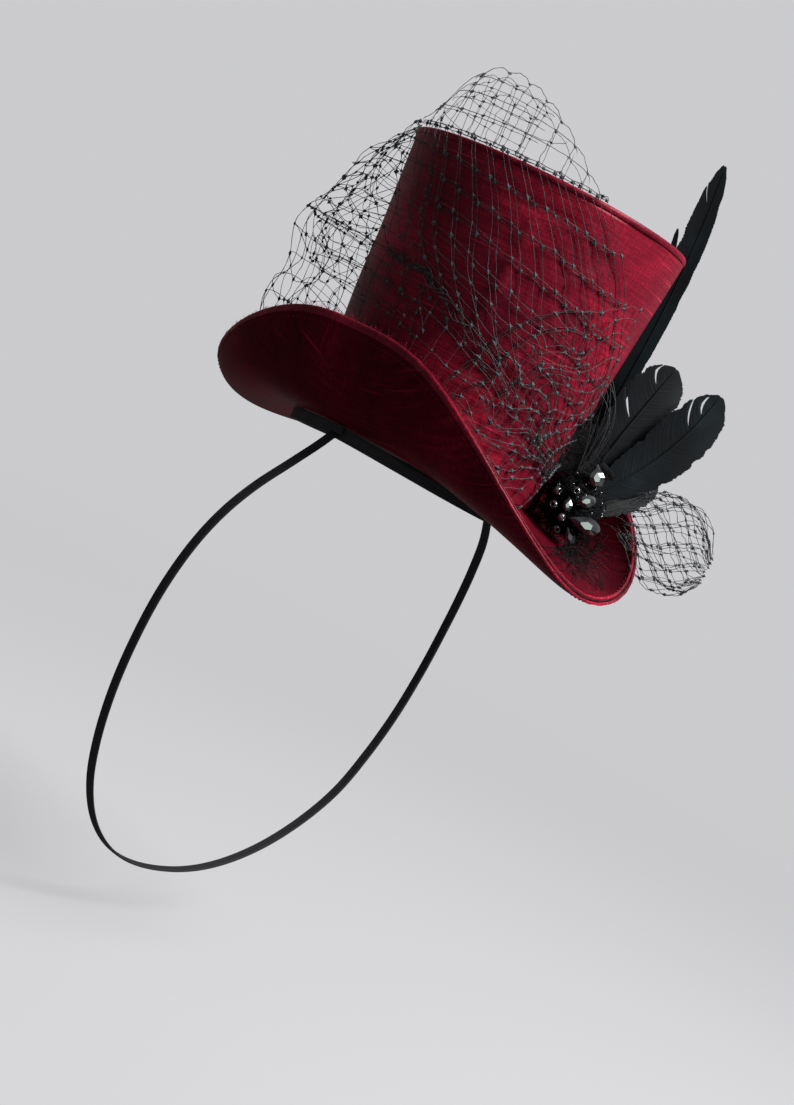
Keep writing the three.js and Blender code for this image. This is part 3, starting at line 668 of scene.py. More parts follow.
def makeBrimEdge(cover):
    # A dark wavy thread fills the groove between the plies as painted shade of the groove, and
    # short silk fibres leave the cut edge at random places, each a curve that drifts along the
    # edge and curls away from it.
    angle = np.linspace(-180, 180, 900)[None]
    share = cover["grooveShadeShare"] + 0.003 * np.sin(np.radians(83 * angle))
    depth = 0.12 * np.sin(np.radians(61 * angle))
    # The near-black thread along the groove is painted shade of the groove.
    grooveShade = tubes(brimPoints(angle, share, depth), cover["grooveShadeThread"], 6)
    makePiece("brim_groove_shade", *grooveShade, darkThread, "ribbon")
    draw = np.random.default_rng(3)
    size = (cover["frayCount"], 1)
    t = np.linspace(0, 1, 5)[None]
    angle = draw.uniform(-180, 180, size) + draw.normal(0, 0.8, size) * t**2
    share = 0.998 + cover["frayLength"] / cover["reach"] * draw.uniform(0.25, 1, size) ** 2 * t
    depth = draw.choice([-1, 1], size) * draw.uniform(0.35, 1.1, size) + draw.normal(0, 0.4, size) * t**2
    fray = tubes(brimPoints(angle, share, depth), cover["frayThread"], 4)
    # The fibres take the lighter edge silk: a painted highlight.
    makePiece("brim_fray", *fray, highlightEdgeSilk, "silk")


# Both plies take darker copies of the silk: painted shade.
makeBrimPly("brim_cover_upper", 1, "brim_upper", shadedInnerSilk)
makeBrimPly("brim_cover_lower", -1, "brim_lower", shadedBrimSilk)
makeBrimStitches(brimCover)
makeBrimEdge(brimCover)
print("brim made")


# head band: a ribbed ribbon hung under the brim, and the strap's sewn ends on it
bandSize = {
    "radius": 48, "wall": 1.4, "depth": 4.2, "clearance": 0.3, "around": 320, "ribs": 4, "ribDepth": 0.07,
}
tabForm = {"squareness": 0.35, "sides": 28, "rows": 15}


def bandTop(angle, radius):
    # The brim's underside at that radius, less the clearance, both measured across the slope.
    gap = hatForm["brimHalfStack"] + bandSize["clearance"]
    return brimHeightAt(angle, radius) - gap / np.cos(np.radians(footSlope(angle)))


def makeBand(size):
    # A rounded upright section carried round under the brim, with a rolled lower edge.
    angle = spokeAngles(size["around"])[:, None]
    across, up = rounded(fullTurn(40)[None], 0.5)
    radius = size["radius"] - size["wall"] / 2 + across * size["wall"] / 2 + 0 * angle
    top = bandTop(angle + 0 * up, radius) - 0.1
    z = top - size["depth"] / 2 * (1 - up)
    ribs = size["ribDepth"] * np.sin(2 * np.pi * up * size["ribs"])
    points = around(angle, radius + ribs * across, z)
    uv = np.radians(angle) * size["radius"], z - top
    band = makePiece("band_ribbon", points, ringFaces(points), bandRibbon, "ribbon", uv)
    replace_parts(band, "head_band")


def makeTab(name, node):
    # A rounded block of folded elastic in its solid's box.
    low, high = (np.array(corner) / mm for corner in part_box(node))
    end = np.pi / 2 - 0.06
    x, y = rounded(fullTurn(tabForm["sides"]), tabForm["squareness"])
    level, z = rounded(np.linspace(-end, end, tabForm["rows"])[:, None], tabForm["squareness"])
    shape = np.stack([level * x, level * y, z + 0 * x], -1)
    points = (low + high) / 2 + shape * (high - low) / 2
    faces = cappedFaces(tabForm["rows"], tabForm["sides"])
    tab = makePiece(name, points, faces, strapElastic, "elastic", (points[..., 1], points[..., 2]))
    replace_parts(tab, node)


makeBand(bandSize)
makeTab("tab_right_cover", "strap_tab_right")
makeTab("tab_left_cover", "strap_tab_left")
print("band made")


# net: knotted threads over a surface of two parameters
netLook = {
    "thread": 0.125,        # radius in mm
    "knotLong": 1.25, "knotWide": 0.98, "knotThick": 0.5, "knotWaist": 0.62,
    "detail": 6,            # points along a thread from knot to knot
    "wobble": 0.05, "bow": 0.25,
}
netForm = {
    "standoff": 1.6, "topRise": 0.4, "rim": 1.0, "brimClear": 1.9,
    "frontFoot": 26, "frontSlant": 60, "frontStart": 0.28, "backEnd": -203,
    "tentReach": 26, "tentShoulder": 0.485, "tentStart": -104, "tentFull": -143,
    "crestRise": 30, "crestFront": 0.325, "crestPeak": -0.5, "crestBack": -0.93,
    "crestHeading": -53, "crestLift": 1.2, "crestMargin": 0.06, "crestReach": 54,
    "scallop": 1.3, "unrolled": 48,
}
crestPowers = (3.0, 1.6)      # how the crest's top falls behind its peak and ahead of it
gatherLine = [(-203, 61), (-143, 62.6), (-83, 57), (-52, 44), (-15, 27), (25, 13)]     # degrees, mm up
rng = np.random.default_rng(7)


def netKnots(centres, along, beside, look):
    # Each knot is a small rhomb: six corners on three axes, its ends longer than its sides, and
    # a waist point between each two neighbours round it.
    centres, along, beside = (part.reshape(-1, 3) for part in (centres, along, beside))
    normal = unit(np.cross(along, beside))
    side = unit(np.cross(normal, along))
    long, wide, thick = (look[key] for key in ("knotLong", "knotWide", "knotThick"))
    size = rng.uniform(0.75, 1.2, (len(centres), 1, 1))
    ring = np.stack([along * long, side * wide, -along * long, -side * wide], 1)
    ends = np.stack([normal * thick, -normal * thick], 1)
    waist = unit(ring + np.roll(ring, -1, axis=1)) * look["knotWaist"] * wide
    points = centres[:, None] + np.concatenate([ring, ends, waist], 1) * size
    faces = [[end, k, 6 + k, (k + 1) % 4][::order] for end, order in ((4, 1), (5, -1)) for k in range(4)]
    return points.reshape(-1, 3), copied(np.array(faces), len(centres), 10)


def netThreads(paths, look):
    # Thin tubes that wander a little between their knots.
    swing = np.abs(np.sin(np.pi * np.arange(paths.shape[1])[None, :, None] / look["detail"]))
    slack = swing * rng.normal(0, look["wobble"], paths.shape)
    bow = swing**2 * rng.normal(0, look["bow"], (paths.shape[0], 1, 3))
    thickness = look["thread"] * rng.uniform(0.8, 1.15, paths.shape[:2])
    return tubes(paths + bow + slack, thickness, 5)


def netOver(place, columns, rows, look):
    # Threads run along both ways of place(u, v) through a grid of knots.
    detail = look["detail"]
    u, v = np.linspace(0, 1, columns), np.linspace(0, 1, rows)
    fineU, fineV = (np.linspace(0, 1, (count - 1) * detail + 1) for count in (columns, rows))
    down = place(*np.meshgrid(u, fineV, indexing="ij"))
    over = place(*np.meshgrid(fineU, v))
    threads = [netThreads(paths, look) for paths in (down, over)]
    knots = down[:, ::detail]
    along = unit(np.gradient(down, axis=1))[:, ::detail]
    beside = place(*np.meshgrid(u + 1e-3, v, indexing="ij")) - knots
    return joined(threads), netKnots(knots, along, beside, look)


def across(place, low, high):
    # The same surface, but only the strip of it between two shares of its width.
    return lambda u, v: place(low + u * (high - low), v)


def netBorder(z):
    # The net's front edge in degrees: it slants back by a power of the height above its start.
    climb = np.maximum(z / hatForm["height"] - netForm["frontStart"], 0) / (1 - netForm["frontStart"])
    return netForm["frontFoot"] - netForm["frontSlant"] * climb**1.6


def netRadius(angle, z, reachShare=1.0):
    # The crown's radius, the standoff, the rim's thickness near the top and the tent's reach.
    form = netForm
    shoulder = form["tentShoulder"] * hatForm["height"]
    fall = np.maximum(z - shoulder, 0) / (hatForm["height"] - shoulder)
    turn = smoothStep(-form["tentStart"], -form["tentFull"], -angle)
    reach = reachShare * form["tentReach"] * (1 - fall**1.9) * turn
    overRim = form["rim"] * smoothStep(0.8 * hatForm["height"], hatForm["height"], z)
    return crownRadius(z) + form["standoff"] + overRim + reach


def netFoot(angle, radius):
    # Above the brim by a clearance across its slope, which is measured over a short step.
    step = 0.9
    height = brimHeightAt(angle, radius)
    slope = np.abs(brimHeightAt(angle, radius + step) - height) / step
    return height + netForm["brimClear"] * np.hypot(1, slope) + 1.2 * slope


def gatherHeight(angle):
    # Straight lines between the rows of the gather line.
    return np.interp(angle, *zip(*gatherLine))


def netPoint(angle, z, reachShare, standoff, folds):
    # On the net's surface, moved in and out from the crown's axis in slow waves.
    points = around(angle, netRadius(angle, z, reachShare) + standoff, z)
    turn = np.radians(angle)
    wave = np.sin(turn * 7 + z * 0.09) * np.sin(z * 0.13 - turn * 3) + 0.5 * np.sin(turn * 15 - z * 0.21)
    return points + unit(points * (1, 1, 0)) * (folds * wave)[..., None]


def tentShare(angle):
    # From the crown's right side (0) to the tent behind it (1).
    return smoothStep(104, 140, -angle)


def crumple(angle, z, amount):
    # Shifts a place along the crown by slow waves, in mm.
    arc = np.radians(angle) * netForm["unrolled"]
    aside = np.sin(0.16 * z + 0.11 * arc) + 0.6 * np.sin(0.23 * arc - 0.14 * z + 2)
    lift = np.sin(0.19 * arc + 0.09 * z + 1) + 0.6 * np.sin(0.13 * z - 0.27 * arc)
    return angle + np.degrees(amount * aside / netForm["unrolled"]), z + amount * lift


def upperNet(shift, sag, reachShare, standoff):
    # From the rim down to the gather line: columns are straight, then bend towards the beads.
    top, back = hatForm["height"] + netForm["topRise"], netForm["backEnd"]
    front = netBorder(top)

    def place(u, v):
        start = front + u * (back - front)
        turn = (netForm["frontFoot"] - 8 - front) * (1 - u) ** 2
        end = gatherHeight(np.clip(start + turn + 14, back, gatherLine[-1][0])) + sag
        z = top + (end - top) * v
        lean = (netBorder(z) - front) * (1 - u) ** 2
        bend = (13 + 10 * u) * smoothStep(0.5, 1.2, v) ** 1.3
        angle = start + shift + lean + bend * smoothStep(1.02, 0.78, u)
        tent = tentShare(angle)
        angle, z = crumple(angle, z, (0.35 + 1.7 * tent) * arch(v) ** 0.6)
        return netPoint(angle, z, reachShare, standoff, 0.3 + 1.6 * tent)

    return place


def lowerNet(shift, reachShare, standoff):
    # From the gather line down to just above the brim.
    front, back = netForm["frontFoot"] - 22, netForm["backEnd"]

    def place(u, v):
        guess = front + u * (back - front)
        foot = netFoot(guess, netRadius(guess, 0.0, reachShare))
        top = gatherHeight(guess)
        z = top + (foot - top) * v
        angle = guess + shift * (1 - v)
        tent = tentShare(angle)
        loose = np.maximum(tent, smoothStep(-70, -10, angle))
        angle, z = crumple(angle, z, (0.6 + 1.6 * loose) * arch(v) ** 0.7)
        return netPoint(angle, z, reachShare, standoff, 0.3 + 1.5 * tent)

    return place


ropeForm = {"start": -108, "sweep": 56, "sway": 20, "twist": 23, "swell": 1.5, "thread": 0.15, "count": 4}


def gatherRope(offset, phase):
    # One thread of the bundle that winds along the gather line, over the crown's right side.
    form = ropeForm
    share = np.linspace(0, 1, 90)
    angle = form["start"] + share * (form["sweep"] + form["sway"] * np.sin(phase))
    wind = share * form["twist"] + phase
    z = gatherHeight(angle) + form["swell"] * np.sin(wind) + offset
    return around(angle, netRadius(angle, z) + 0.35 * np.cos(wind) + 0.2, z)


def strayThreads(count):
    # Loose loops that rise from the beads past the crown's front edge and come back to it.
    t = np.linspace(0, 1, 24)[None, :, None]
    shift = rng.normal(0, 1, (count, 3, 3)) * (2.6, 1.2, 4.5)
    route = np.array([(7, -17, 19), (13, -19, 46), (-2, -20, 53)]) + (hatForm["footRadius"], 0, 0)
    start, middle, end = np.moveaxis(route + shift * [[0.5], [1.6], [0.8]], 1, 0)[:, :, None]
    spots = start * (1 - t) ** 2 + middle * 2 * t * (1 - t) + end * t**2
    return tubes(fromTrim(*np.moveaxis(spots, -1, 0)), 0.11, 6)


fanForm = {"angle": 20, "z": 14, "near": 7, "reach": 58, "bulge": 5, "crumple": 3.0}


def fanNet(standoff, spread):
    # Over the crown's front right: rays from the beads, curving up and round to the right.
    form = fanForm

    def place(u, v):
        heading = np.radians(spread[0] + u * (spread[1] - spread[0]))
        reach = form["near"] + form["reach"] * v**0.9
        z = form["z"] + np.sin(heading) * reach + form["bulge"] * v * (1 - v)
        angle = form["angle"] + np.degrees(-np.cos(heading) * reach / netForm["unrolled"])
        angle, z = crumple(angle, z, form["crumple"] * np.clip(3 * v * (1.15 - v), 0, 1))
        return netPoint(angle, z, 1.0, standoff, 0.5)

    return place


def crestTop(spot):
    # Height of the crest over the crown by place along the rim; it peaks behind the middle.
    form = netForm
    ahead = spot - form["crestPeak"]
    behind = ahead < 0
    width = np.where(behind, form["crestPeak"] - form["crestBack"], form["crestFront"] - form["crestPeak"])
    power = np.where(behind, *crestPowers)
    return form["crestRise"] * (1 - np.minimum(np.abs(ahead) / width, 1) ** power)


def crestPoint(spot, height, side, shrink):
    # On the dome over the crown, on its near side (-1) or its far side (1).
    rim = netRadius(np.array(netForm["crestHeading"]), np.array(float(hatForm["height"])))
    share = np.clip(height / np.maximum(crestTop(spot) * shrink, 0.5), 0, 1)
    over = np.arcsin(share**1.25) / np.pi
    half = rim * np.sqrt(1 - spot**2)
    wave = 1.3 * np.sin(8 * spot + 0.17 * height) * np.clip(height / 8, 0, 1)
    up = hatForm["height"] + netForm["crestLift"] + height
    return fromTrim(spot * rim, side * half * (1 - 2 * over) + wave, up)


def crestSheet(side, front, shrink, cell, look):
    # Upright threads stand on the rim and level ones cross them, all cut off at the crest's top,
    # which has a scalloped thread along it.
    form = netForm
    peak, back, tall = form["crestPeak"], form["crestBack"], form["crestRise"] * shrink
    first, pitch, cut = back + form["crestMargin"], cell / form["crestReach"], form["crestLift"]

    def point(spot, height):
        return crestPoint(spot, height, side, shrink)

    spots = np.arange(first, front, pitch)
    tops = crestTop(spots) * shrink
    t = np.linspace(0, 1, 4 * look["detail"] + 1)
    upright = point(spots[:, None], tops[:, None] * t)
    heights = np.arange(0.2, tall - 2, cell * 0.96)
    behind, ahead = ((1 - heights / tall) ** (1 / power) for power in crestPowers)
    high = np.minimum(peak + (form["crestFront"] - peak) * ahead, front)
    low = peak - (peak - back) * behind
    t = np.linspace(0, 1, 8 * look["detail"] + 1)
    level = point(low[:, None] + (high - low)[:, None] * t, heights[:, None] + 0 * t)
    line = np.linspace(back, front, 140)
    bulge = form["scallop"] * np.abs(np.sin(np.pi * (line - first) / pitch))
    edge = point(line, crestTop(line) * shrink - cut) + np.array([0, 0, 1.0]) * bulge[:, None]
    gridSpots, gridHeights = (grid.ravel() for grid in np.meshgrid(spots, heights))
    inside = gridHeights < crestTop(gridSpots) * shrink - 1
    gridSpots = np.concatenate([gridSpots[inside], spots])
    gridHeights = np.concatenate([gridHeights[inside], np.maximum(tops - cut, 0)])
    centres = point(gridSpots, gridHeights)
    along = unit(point(gridSpots, gridHeights + 0.5) - centres + np.array([0, 0, 1e-3]))
    beside = point(gridSpots + 0.01, gridHeights) - centres
    knots = netKnots(centres, along, beside, look)
    return joined([netThreads(paths, look) for paths in (upright, level, edge[None])]), knots


puffForm = {"heading": 25, "standoff": 19, "height": 10, "length": 44, "radius": 16}
puffSections = [        # share along it, fullness and rise
    (0, 0.2, 0), (0.16, 0.36, 4.4), (0.34, 0.64, 6.2), (0.56, 0.97, 4.6), (0.76, 0.97, 2.4),
    (0.92, 0.72, 0.6), (1, 0.36, 0),
]


def puffSkin(scale):
    # Rings whose size and height follow the puff's sections, with lengthwise pleats.
    form = puffForm

    def place(u, v):
        fullness, rise = curveAt(puffSections, v)
        turn = 2 * np.pi * u
        pleat = 1 + 0.1 * np.sin(5 * turn + 6 * v) - 0.05 * np.cos(3 * turn - 9 * v)
        radius = fullness * form["radius"] * scale * pleat
        out = hatForm["footRadius"] + form["standoff"] + v * form["length"]
        middle = around(form["heading"], out, form["height"] + rise)
        aside = around(form["heading"] + 90, radius * np.cos(turn), 0.0)
        return middle + aside + np.array([0, 0, 1]) * (radius * np.sin(turn))[..., None]

    return place


def spiralNet(place, count, turns, start, look):
    # Threads wind both ways along the skin, and a knot sits wherever two of them cross.
    t = np.linspace(0, 1, 60)[None]
    first = np.arange(count)[:, None] / count
    v = start + (1 - start) * t + 0 * first
    threads = [netThreads(place(first + way * turns * v, v), look) for way in (1, -1)]
    crossings = 2 * turns * count
    level = np.arange(int(crossings * start) + 1, int(crossings) + 1)[None] / crossings
    u, v = (grid.ravel() for grid in np.broadcast_arrays(first + turns * level, level))
    centres = place(u, v)
    along = unit(place(u, np.minimum(v + 0.01, 1.01)) - place(u, v - 0.01))
    beside = place(u + 0.01, v) - centres
    return joined(threads), netKnots(centres, along, beside, look)


strandForm = {
    "start": (10, 52), "centre": 30,        # degrees
    "near": 0.24, "far": (0.3, 0.78),       # shares of the way out over the brim
    "swing": 3.5, "lift": 1.5, "thread": 0.11,
}


def brimStrands(count):
    # Loose threads run from under the beads out over the front brim, each with its own waves.
    form, size = strandForm, (count, 1)
    start = rng.uniform(*form["start"], size)
    spread = start + (start - form["centre"]) * rng.uniform(0.2, 1.0, size)
    far = rng.uniform(*form["far"], size)
    t = np.linspace(0, 1, 24)[None]
    swing = form["swing"] * np.sin(t * rng.uniform(4, 11, size) + rng.uniform(0, 6, size))
    angle = start + (spread - start) * t + swing
    share = form["near"] + (far - form["near"]) * t
    lift = form["lift"] + 0.9 * np.sin(np.pi * t) * rng.uniform(0.2, 1.6, size)
    spots = brimMiddle(angle, share) + brimNormal(angle, share) * lift[..., None]
    return tubes(spots, form["thread"], 5)


def makeNet(name, nets, node):
    # Threads and knots of several layers, as two pieces.
    threads, knots = joined([net[0] for net in nets]), joined([net[1] for net in nets if net[1]])
    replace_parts(makePiece(name, *threads, netThread, "net"), node)
    makePiece(name + "_knots", *knots, netKnot, "net", smooth=False)


farLook = {**netLook, "thread": 0.1, "knotLong": 0.9, "knotWide": 0.7}
puffLook = {**netLook, "thread": 0.11, "knotLong": 1.05, "knotWide": 0.8}
ropes = np.stack([gatherRope(0.5 * k - 0.7, 1.7 * k) for k in range(ropeForm["count"])])
makeNet(
    "side_net",
    [
        netOver(upperNet(0, 0, 1, 0), 26, 8, netLook),
        netOver(across(upperNet(-3.4, -2.6, 1, -0.7), 0, 0.42), 11, 8, netLook),
        netOver(across(upperNet(5, -16, 0.72, 0), 0.45, 1), 13, 11, farLook),
        netOver(lowerNet(4, 1, 0), 26, 7, netLook),
        netOver(across(lowerNet(-12, 0.66, -0.6), 0.36, 1), 13, 8, farLook),
        netOver(fanNet(0.5, (8, 80)), 10, 9, netLook),
        netOver(fanNet(-0.3, (-4, 60)), 8, 10, netLook),
        (tubes(ropes, ropeForm["thread"], 6), None),
        (strayThreads(9), None),
    ],
    "veil_side",
)
makeNet(
    "crest_net",
    [
        crestSheet(-1, netForm["crestFront"], 1, 7.8, netLook),
        crestSheet(-1, -0.2, 0.9, 6.6, farLook),
        crestSheet(1, netForm["crestFront"], 0.97, 9.5, farLook),
        crestSheet(1, -0.3, 0.8, 7.0, farLook),
    ],
    "veil_crest",
)
makeNet(
    "puff_net",
    [
        spiralNet(puffSkin(1.0), 12, 0.36, 0.25, puffLook),
        spiralNet(puffSkin(0.8), 9, 0.5, 0.3, farLook),
        spiralNet(puffSkin(1.0), 3, 0.2, 0.0, farLook),
    ],
    "veil_front",
)
print("net made")


# feathers: barbs on both sides of a quill
featherForm = {"cup": 0.12, "barbEvery": 0.36, "barbWidth": 0.46, "barbThick": 0.03, "steps": 9}
feathers = [
    {
        "name": "long_feather", "root": (3.4, -9, 22), "middle": (6.2, 7, 88), "tip": (-2.1, 4.5, 139),
        "halfWidth": 7.0, "facing": (42, 46), "base": 1.3, "sweep": 9.0,
        "splits": [(1, 0.85, 0.009), (-1, 0.8, 0.007)],
    },
    {
        "name": "short_feather", "root": (7.2, -4, 26), "middle": (4.2, 25, 82), "tip": (-6.2, 19.5, 114.5),
        "halfWidth": 2.6, "facing": (20, 40), "base": 1, "sweep": 6.0, "splits": [],
    },
    {
        "name": "wide_feather_1",
        "root": (9.6, -13, 19), "middle": (12.5, -11.5, 46), "tip": (16.3, -10, 67.5), "halfWidth": 9.6,
        "facing": (90, 84), "base": 1, "sweep": 9.0,
        "splits": [(1, 0.5, 0.03), (1, 0.8, 0.026), (-1, 0.74, 0.008)],
    },
    {
        "name": "wide_feather_2",
        "root": (12.5, -16.5, 16), "middle": (30, -15.5, 34), "tip": (34, -14.5, 65.5), "halfWidth": 9.2,
        "facing": (94, 92), "base": 1, "sweep": 9.0,
        "splits": [(1, 0.75, 0.024), (1, 0.85, 0.03), (-1, 0.66, 0.008)],
    },
    {
        "name": "wide_feather_3", "root": (12, -12, 12), "middle": (23.3, -4, 18), "tip": (31.3, -1, 31),
        "halfWidth": 6.8, "facing": (98, 96), "base": 1, "sweep": 7.0, "splits": [],
    },
]
vaneOutline = [         # share along the quill and of the full width
    (0, 0.34), (0.12, 0.56), (0.3, 0.82), (0.5, 0.97), (0.74, 1), (0.9, 0.78), (0.97, 0.46), (1, 0.16),
]


def featherMaterial(name, shade, gloss):
    # Black barbs with a blue-green sheen, their tone changed by a slow noise.
    material, tree, shader = newMaterial(name, {
        "Roughness": 0.5, "Specular IOR Level": gloss,
        "Sheen Weight": 0.1 * shade, "Sheen Tint": (0.45, 0.75, 0.8, 1),
    })
    tones = [(0.3, (0.003, 0.005, 0.007)), (0.55, (0.009, 0.014, 0.019)), (0.75, (0.018, 0.03, 0.039))]
    stops = [(place, tuple(v * shade for v in colour)) for place, colour in tones]
    tint(tree, shader, noise(tree, "Object", (1, 1, 1), 60, 3.0, 0.6), stops)
    return material


slateBarbs = featherMaterial("slate_barbs", 0.44, 0.2)
blackBarbs = featherMaterial("black_barbs", 0.12, 0.04)


def wallPoint(out, aside, up):
    # A point that far out from the crown's wall at its own height.
    return fromTrim(crownRadius(np.minimum(up, hatForm["height"])) + out, aside, up)


def featherLine(row):
    # The three points of a feather's quill curve.
    return [wallPoint(*(np.array(float(v)) for v in row[key])) for key in ("root", "middle", "tip")]


def vanePoint(row, across, along):
    # A quadratic quill with a cupped vane each side, turned from edge-on to face-on by its facing.
    root, middle, tip = featherLine(row)
    across, along = np.asarray(across)[..., None], np.asarray(along)[..., None]
    line = root * (1 - along) ** 2 + middle * 2 * along * (1 - along) + tip * along**2
    tangent = unit((middle - root) * (1 - along) + (tip - middle) * along)
    along = along[..., 0]
    first, last = row["facing"]
    turn = np.radians(first + along * (last - first))
    side = unit(np.cross(fromTrim(np.cos(turn), -np.sin(turn), 0 * turn), tangent))
    face = np.cross(tangent, side)
    (width,) = curveAt(vaneOutline, along)
    width = width * (1 + (row["base"] - 1) * smoothStep(0.45, 0.15, along))
    width = (row["halfWidth"] * width)[..., None]
    return line + side * width * across - face * featherForm["cup"] * width * across**2, face


def makeFeather(row):
    # Barbs leave the quill at even steps and sweep forward to the vane's edge, each a flat strip.
    form = featherForm
    root, _, tip = featherLine(row)
    length = float(np.linalg.norm(tip - root))
    count = int(length / form["barbEvery"])
    start = np.linspace(0.03, 0.985, count)[:, None]
    s = np.linspace(0, 1, form["steps"])[None]
    parts = []
    for side in (-1, 1):
        notch = np.maximum(np.sin(start * 19 + side) * np.sin(start * 41), 0)
        reach = 1 - 0.05 * rng.random((count, 1)) ** 2 - 0.11 * notch
        along = start + row["sweep"] / length * s**1.4
        for splitSide, at, gap in row["splits"]:
            if splitSide == side:
                apart = np.where(start > at, 1, -1) * np.exp(-(((start - at) / 0.06) ** 2))
                along = along + gap * apart * s**1.3 * (1.2 - s) * 2.2
        along = np.clip(along + rng.normal(0, 0.0012, (count, 1)) * s, 0, 1)
        path, face = vanePoint(row, side * s * reach, along)
        path = path + face * rng.normal(0, 0.012, (count, 1, 1))
        wide = unit(np.cross(face, unit(np.gradient(path, axis=1))))
        wide = wide * (1 - 0.45 * s**4)[..., None] * form["barbWidth"]
        thick = face * form["barbThick"]
        points = np.stack([path + wide, path + thick, path - wide, path - thick], 2)
        faces = copied(cappedFaces(form["steps"], 4), count, form["steps"] * 4)
        parts.append((points.reshape(-1, 3), faces))
    t = np.linspace(0.0, 0.99, 50)
    quill, face = vanePoint(row, 0 * t, t)
    parts.append(tubes(quill[None] + face[None] * 0.1, np.linspace(0.75, 0.16, 50)[None], 10))
    barbs = slateBarbs if "wide" in row["name"] else blackBarbs
    piece = makePiece(row["name"] + "_vane", *joined(parts), barbs, "feather", smooth=False)
    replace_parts(piece, row["name"])


for row in feathers:
    makeFeather(row)
print("feathers made")


# glass and the cluster behind it
clusterForm = {
    "out": 10, "aside": -16, "up": 10.5, "sizeOut": 10.5, "sizeAside": 8.5, "sizeUp": 11.5, "gap": 0.3,
    "rings": 60, "around": 96, "strands": 110,
    "loops": 480, "loopOut": (-1.15, 0.7), "loopUp": (-0.95, 1.9), "loopSize": (0.12, 0.34),
    "tallLoops": 80, "tallOut": (-1.0, -0.6), "tallUp": (1.6, 2.5), "loopThread": 0.15, "loopReach": 1.3,
}
dropBeads = [
    {"name": "drop_bead_1", "out": 0.16, "up": 0.83, "lift": 0, "length": 8.4, "width": 5.4, "lean": -26},
    {"name": "drop_bead_2", "out": 0.17, "up": 0.21, "lift": 0.3, "length": 7.7, "width": 4.4, "lean": -122},
    {"name": "drop_bead_3", "out": -0.21, "up": -0.04, "lift": 0, "length": 5.4, "width": 3.4, "lean": -15},
    {"name": "drop_bead_4", "out": 0.42, "up": -0.3, "lift": 0.2, "length": 11.6, "width": 6.2, "lean": -92},
    {"name": "drop_bead_5", "out": 0.24, "up": -0.73, "lift": 0, "length": 6.6, "width": 3.6, "lean": -40},
]
roundBeads = [
    {"name": "round_bead_1", "out": -0.16, "up": 0.36, "tilt": 0},
    {"name": "round_bead_2", "out": -0.16, "up": -0.76, "tilt": 20},
    {"name": "round_bead_3", "out": -0.2, "up": -0.42, "tilt": 55},
    {"name": "round_bead_4", "out": -0.55, "up": -0.22, "tilt": -25},
    {"name": "round_bead_5", "out": -0.62, "up": 0.15, "tilt": 40},
]
dropProfile = [         # along the bead and its radius, as shares of half its length and width
    (-1, 0.02), (-0.93, 0.34), (-0.78, 0.66), (-0.45, 0.94), (-0.1, 1),
    (0.25, 0.8), (0.6, 0.43), (0.92, 0.13), (1, 0.02),
]
glassForm = {
    "tableDepth": 0.62, "sides": 8, "roundSize": 3.2, "roundHole": 1.1,
    "seedSize": 1.1, "seedHole": 0.4, "seeds": 26,
}


def glassMaterial(name, dark, light, metal):
    # Coated glass: a clear coat over a shiny dark body, with a slow noise that tints it.
    material, tree, shader = newMaterial(name, {
        "Roughness": 0.08, "Specular IOR Level": 0.9, "Metallic": metal,
        "Coat Weight": 1.0, "Coat Roughness": 0.02,
    })
    tint(tree, shader, noise(tree, "Object", (1, 1, 1), 120, 1.0, 0.5), [(0.35, dark), (0.7, light)])
    return material


blackGlass = glassMaterial("black_glass", (0.03, 0.034, 0.037), (0.16, 0.17, 0.18), 0.7)
# The flat front facets are pale green: a painted reflection on black glass.
tableReflection = glassMaterial("facet_painted_reflection", (0.42, 0.56, 0.5), (0.6, 0.72, 0.66), 0.15)
clusterMiddle = wallPoint(*(float(clusterForm[key]) for key in ("out", "aside", "up")))
clusterSize = np.array([clusterForm["sizeOut"], clusterForm["sizeAside"], clusterForm["sizeUp"]])


def onCluster(out, up, away):
    # The point that far off the pad's near surface, where it is out and up as shares of the pad.
    aside = -np.sqrt(np.maximum(1 - out * out - up * up, 0))
    share = np.stack([out, aside, up], -1)
    normal = unit(share / clusterSize)
    spot = share * clusterSize + normal * np.asarray(away)[..., None]
    return clusterMiddle + fromTrim(*np.moveaxis(spot, -1, 0)), normal


def beadFrame(lean, tilt):
    # A bead's own axes: along it by its lean, and its face turned about that by its tilt.
    lean = math.radians(lean)
    axis = fromTrim(math.sin(lean), 0.0, math.cos(lean))
    turn = Matrix.Rotation(math.radians(tilt), 3, Vector(axis))
    face = np.array(turn @ Vector(fromTrim(0.0, -1.0, 0.0)))
    return np.cross(axis, face), axis, face


def inFrame(middle, axes, x, y, z):
    # Points at x, y and z along a bead's own three axes.
    return middle + sum(part[..., None] * axis for part, axis in zip(np.broadcast_arrays(x, y, z), axes))


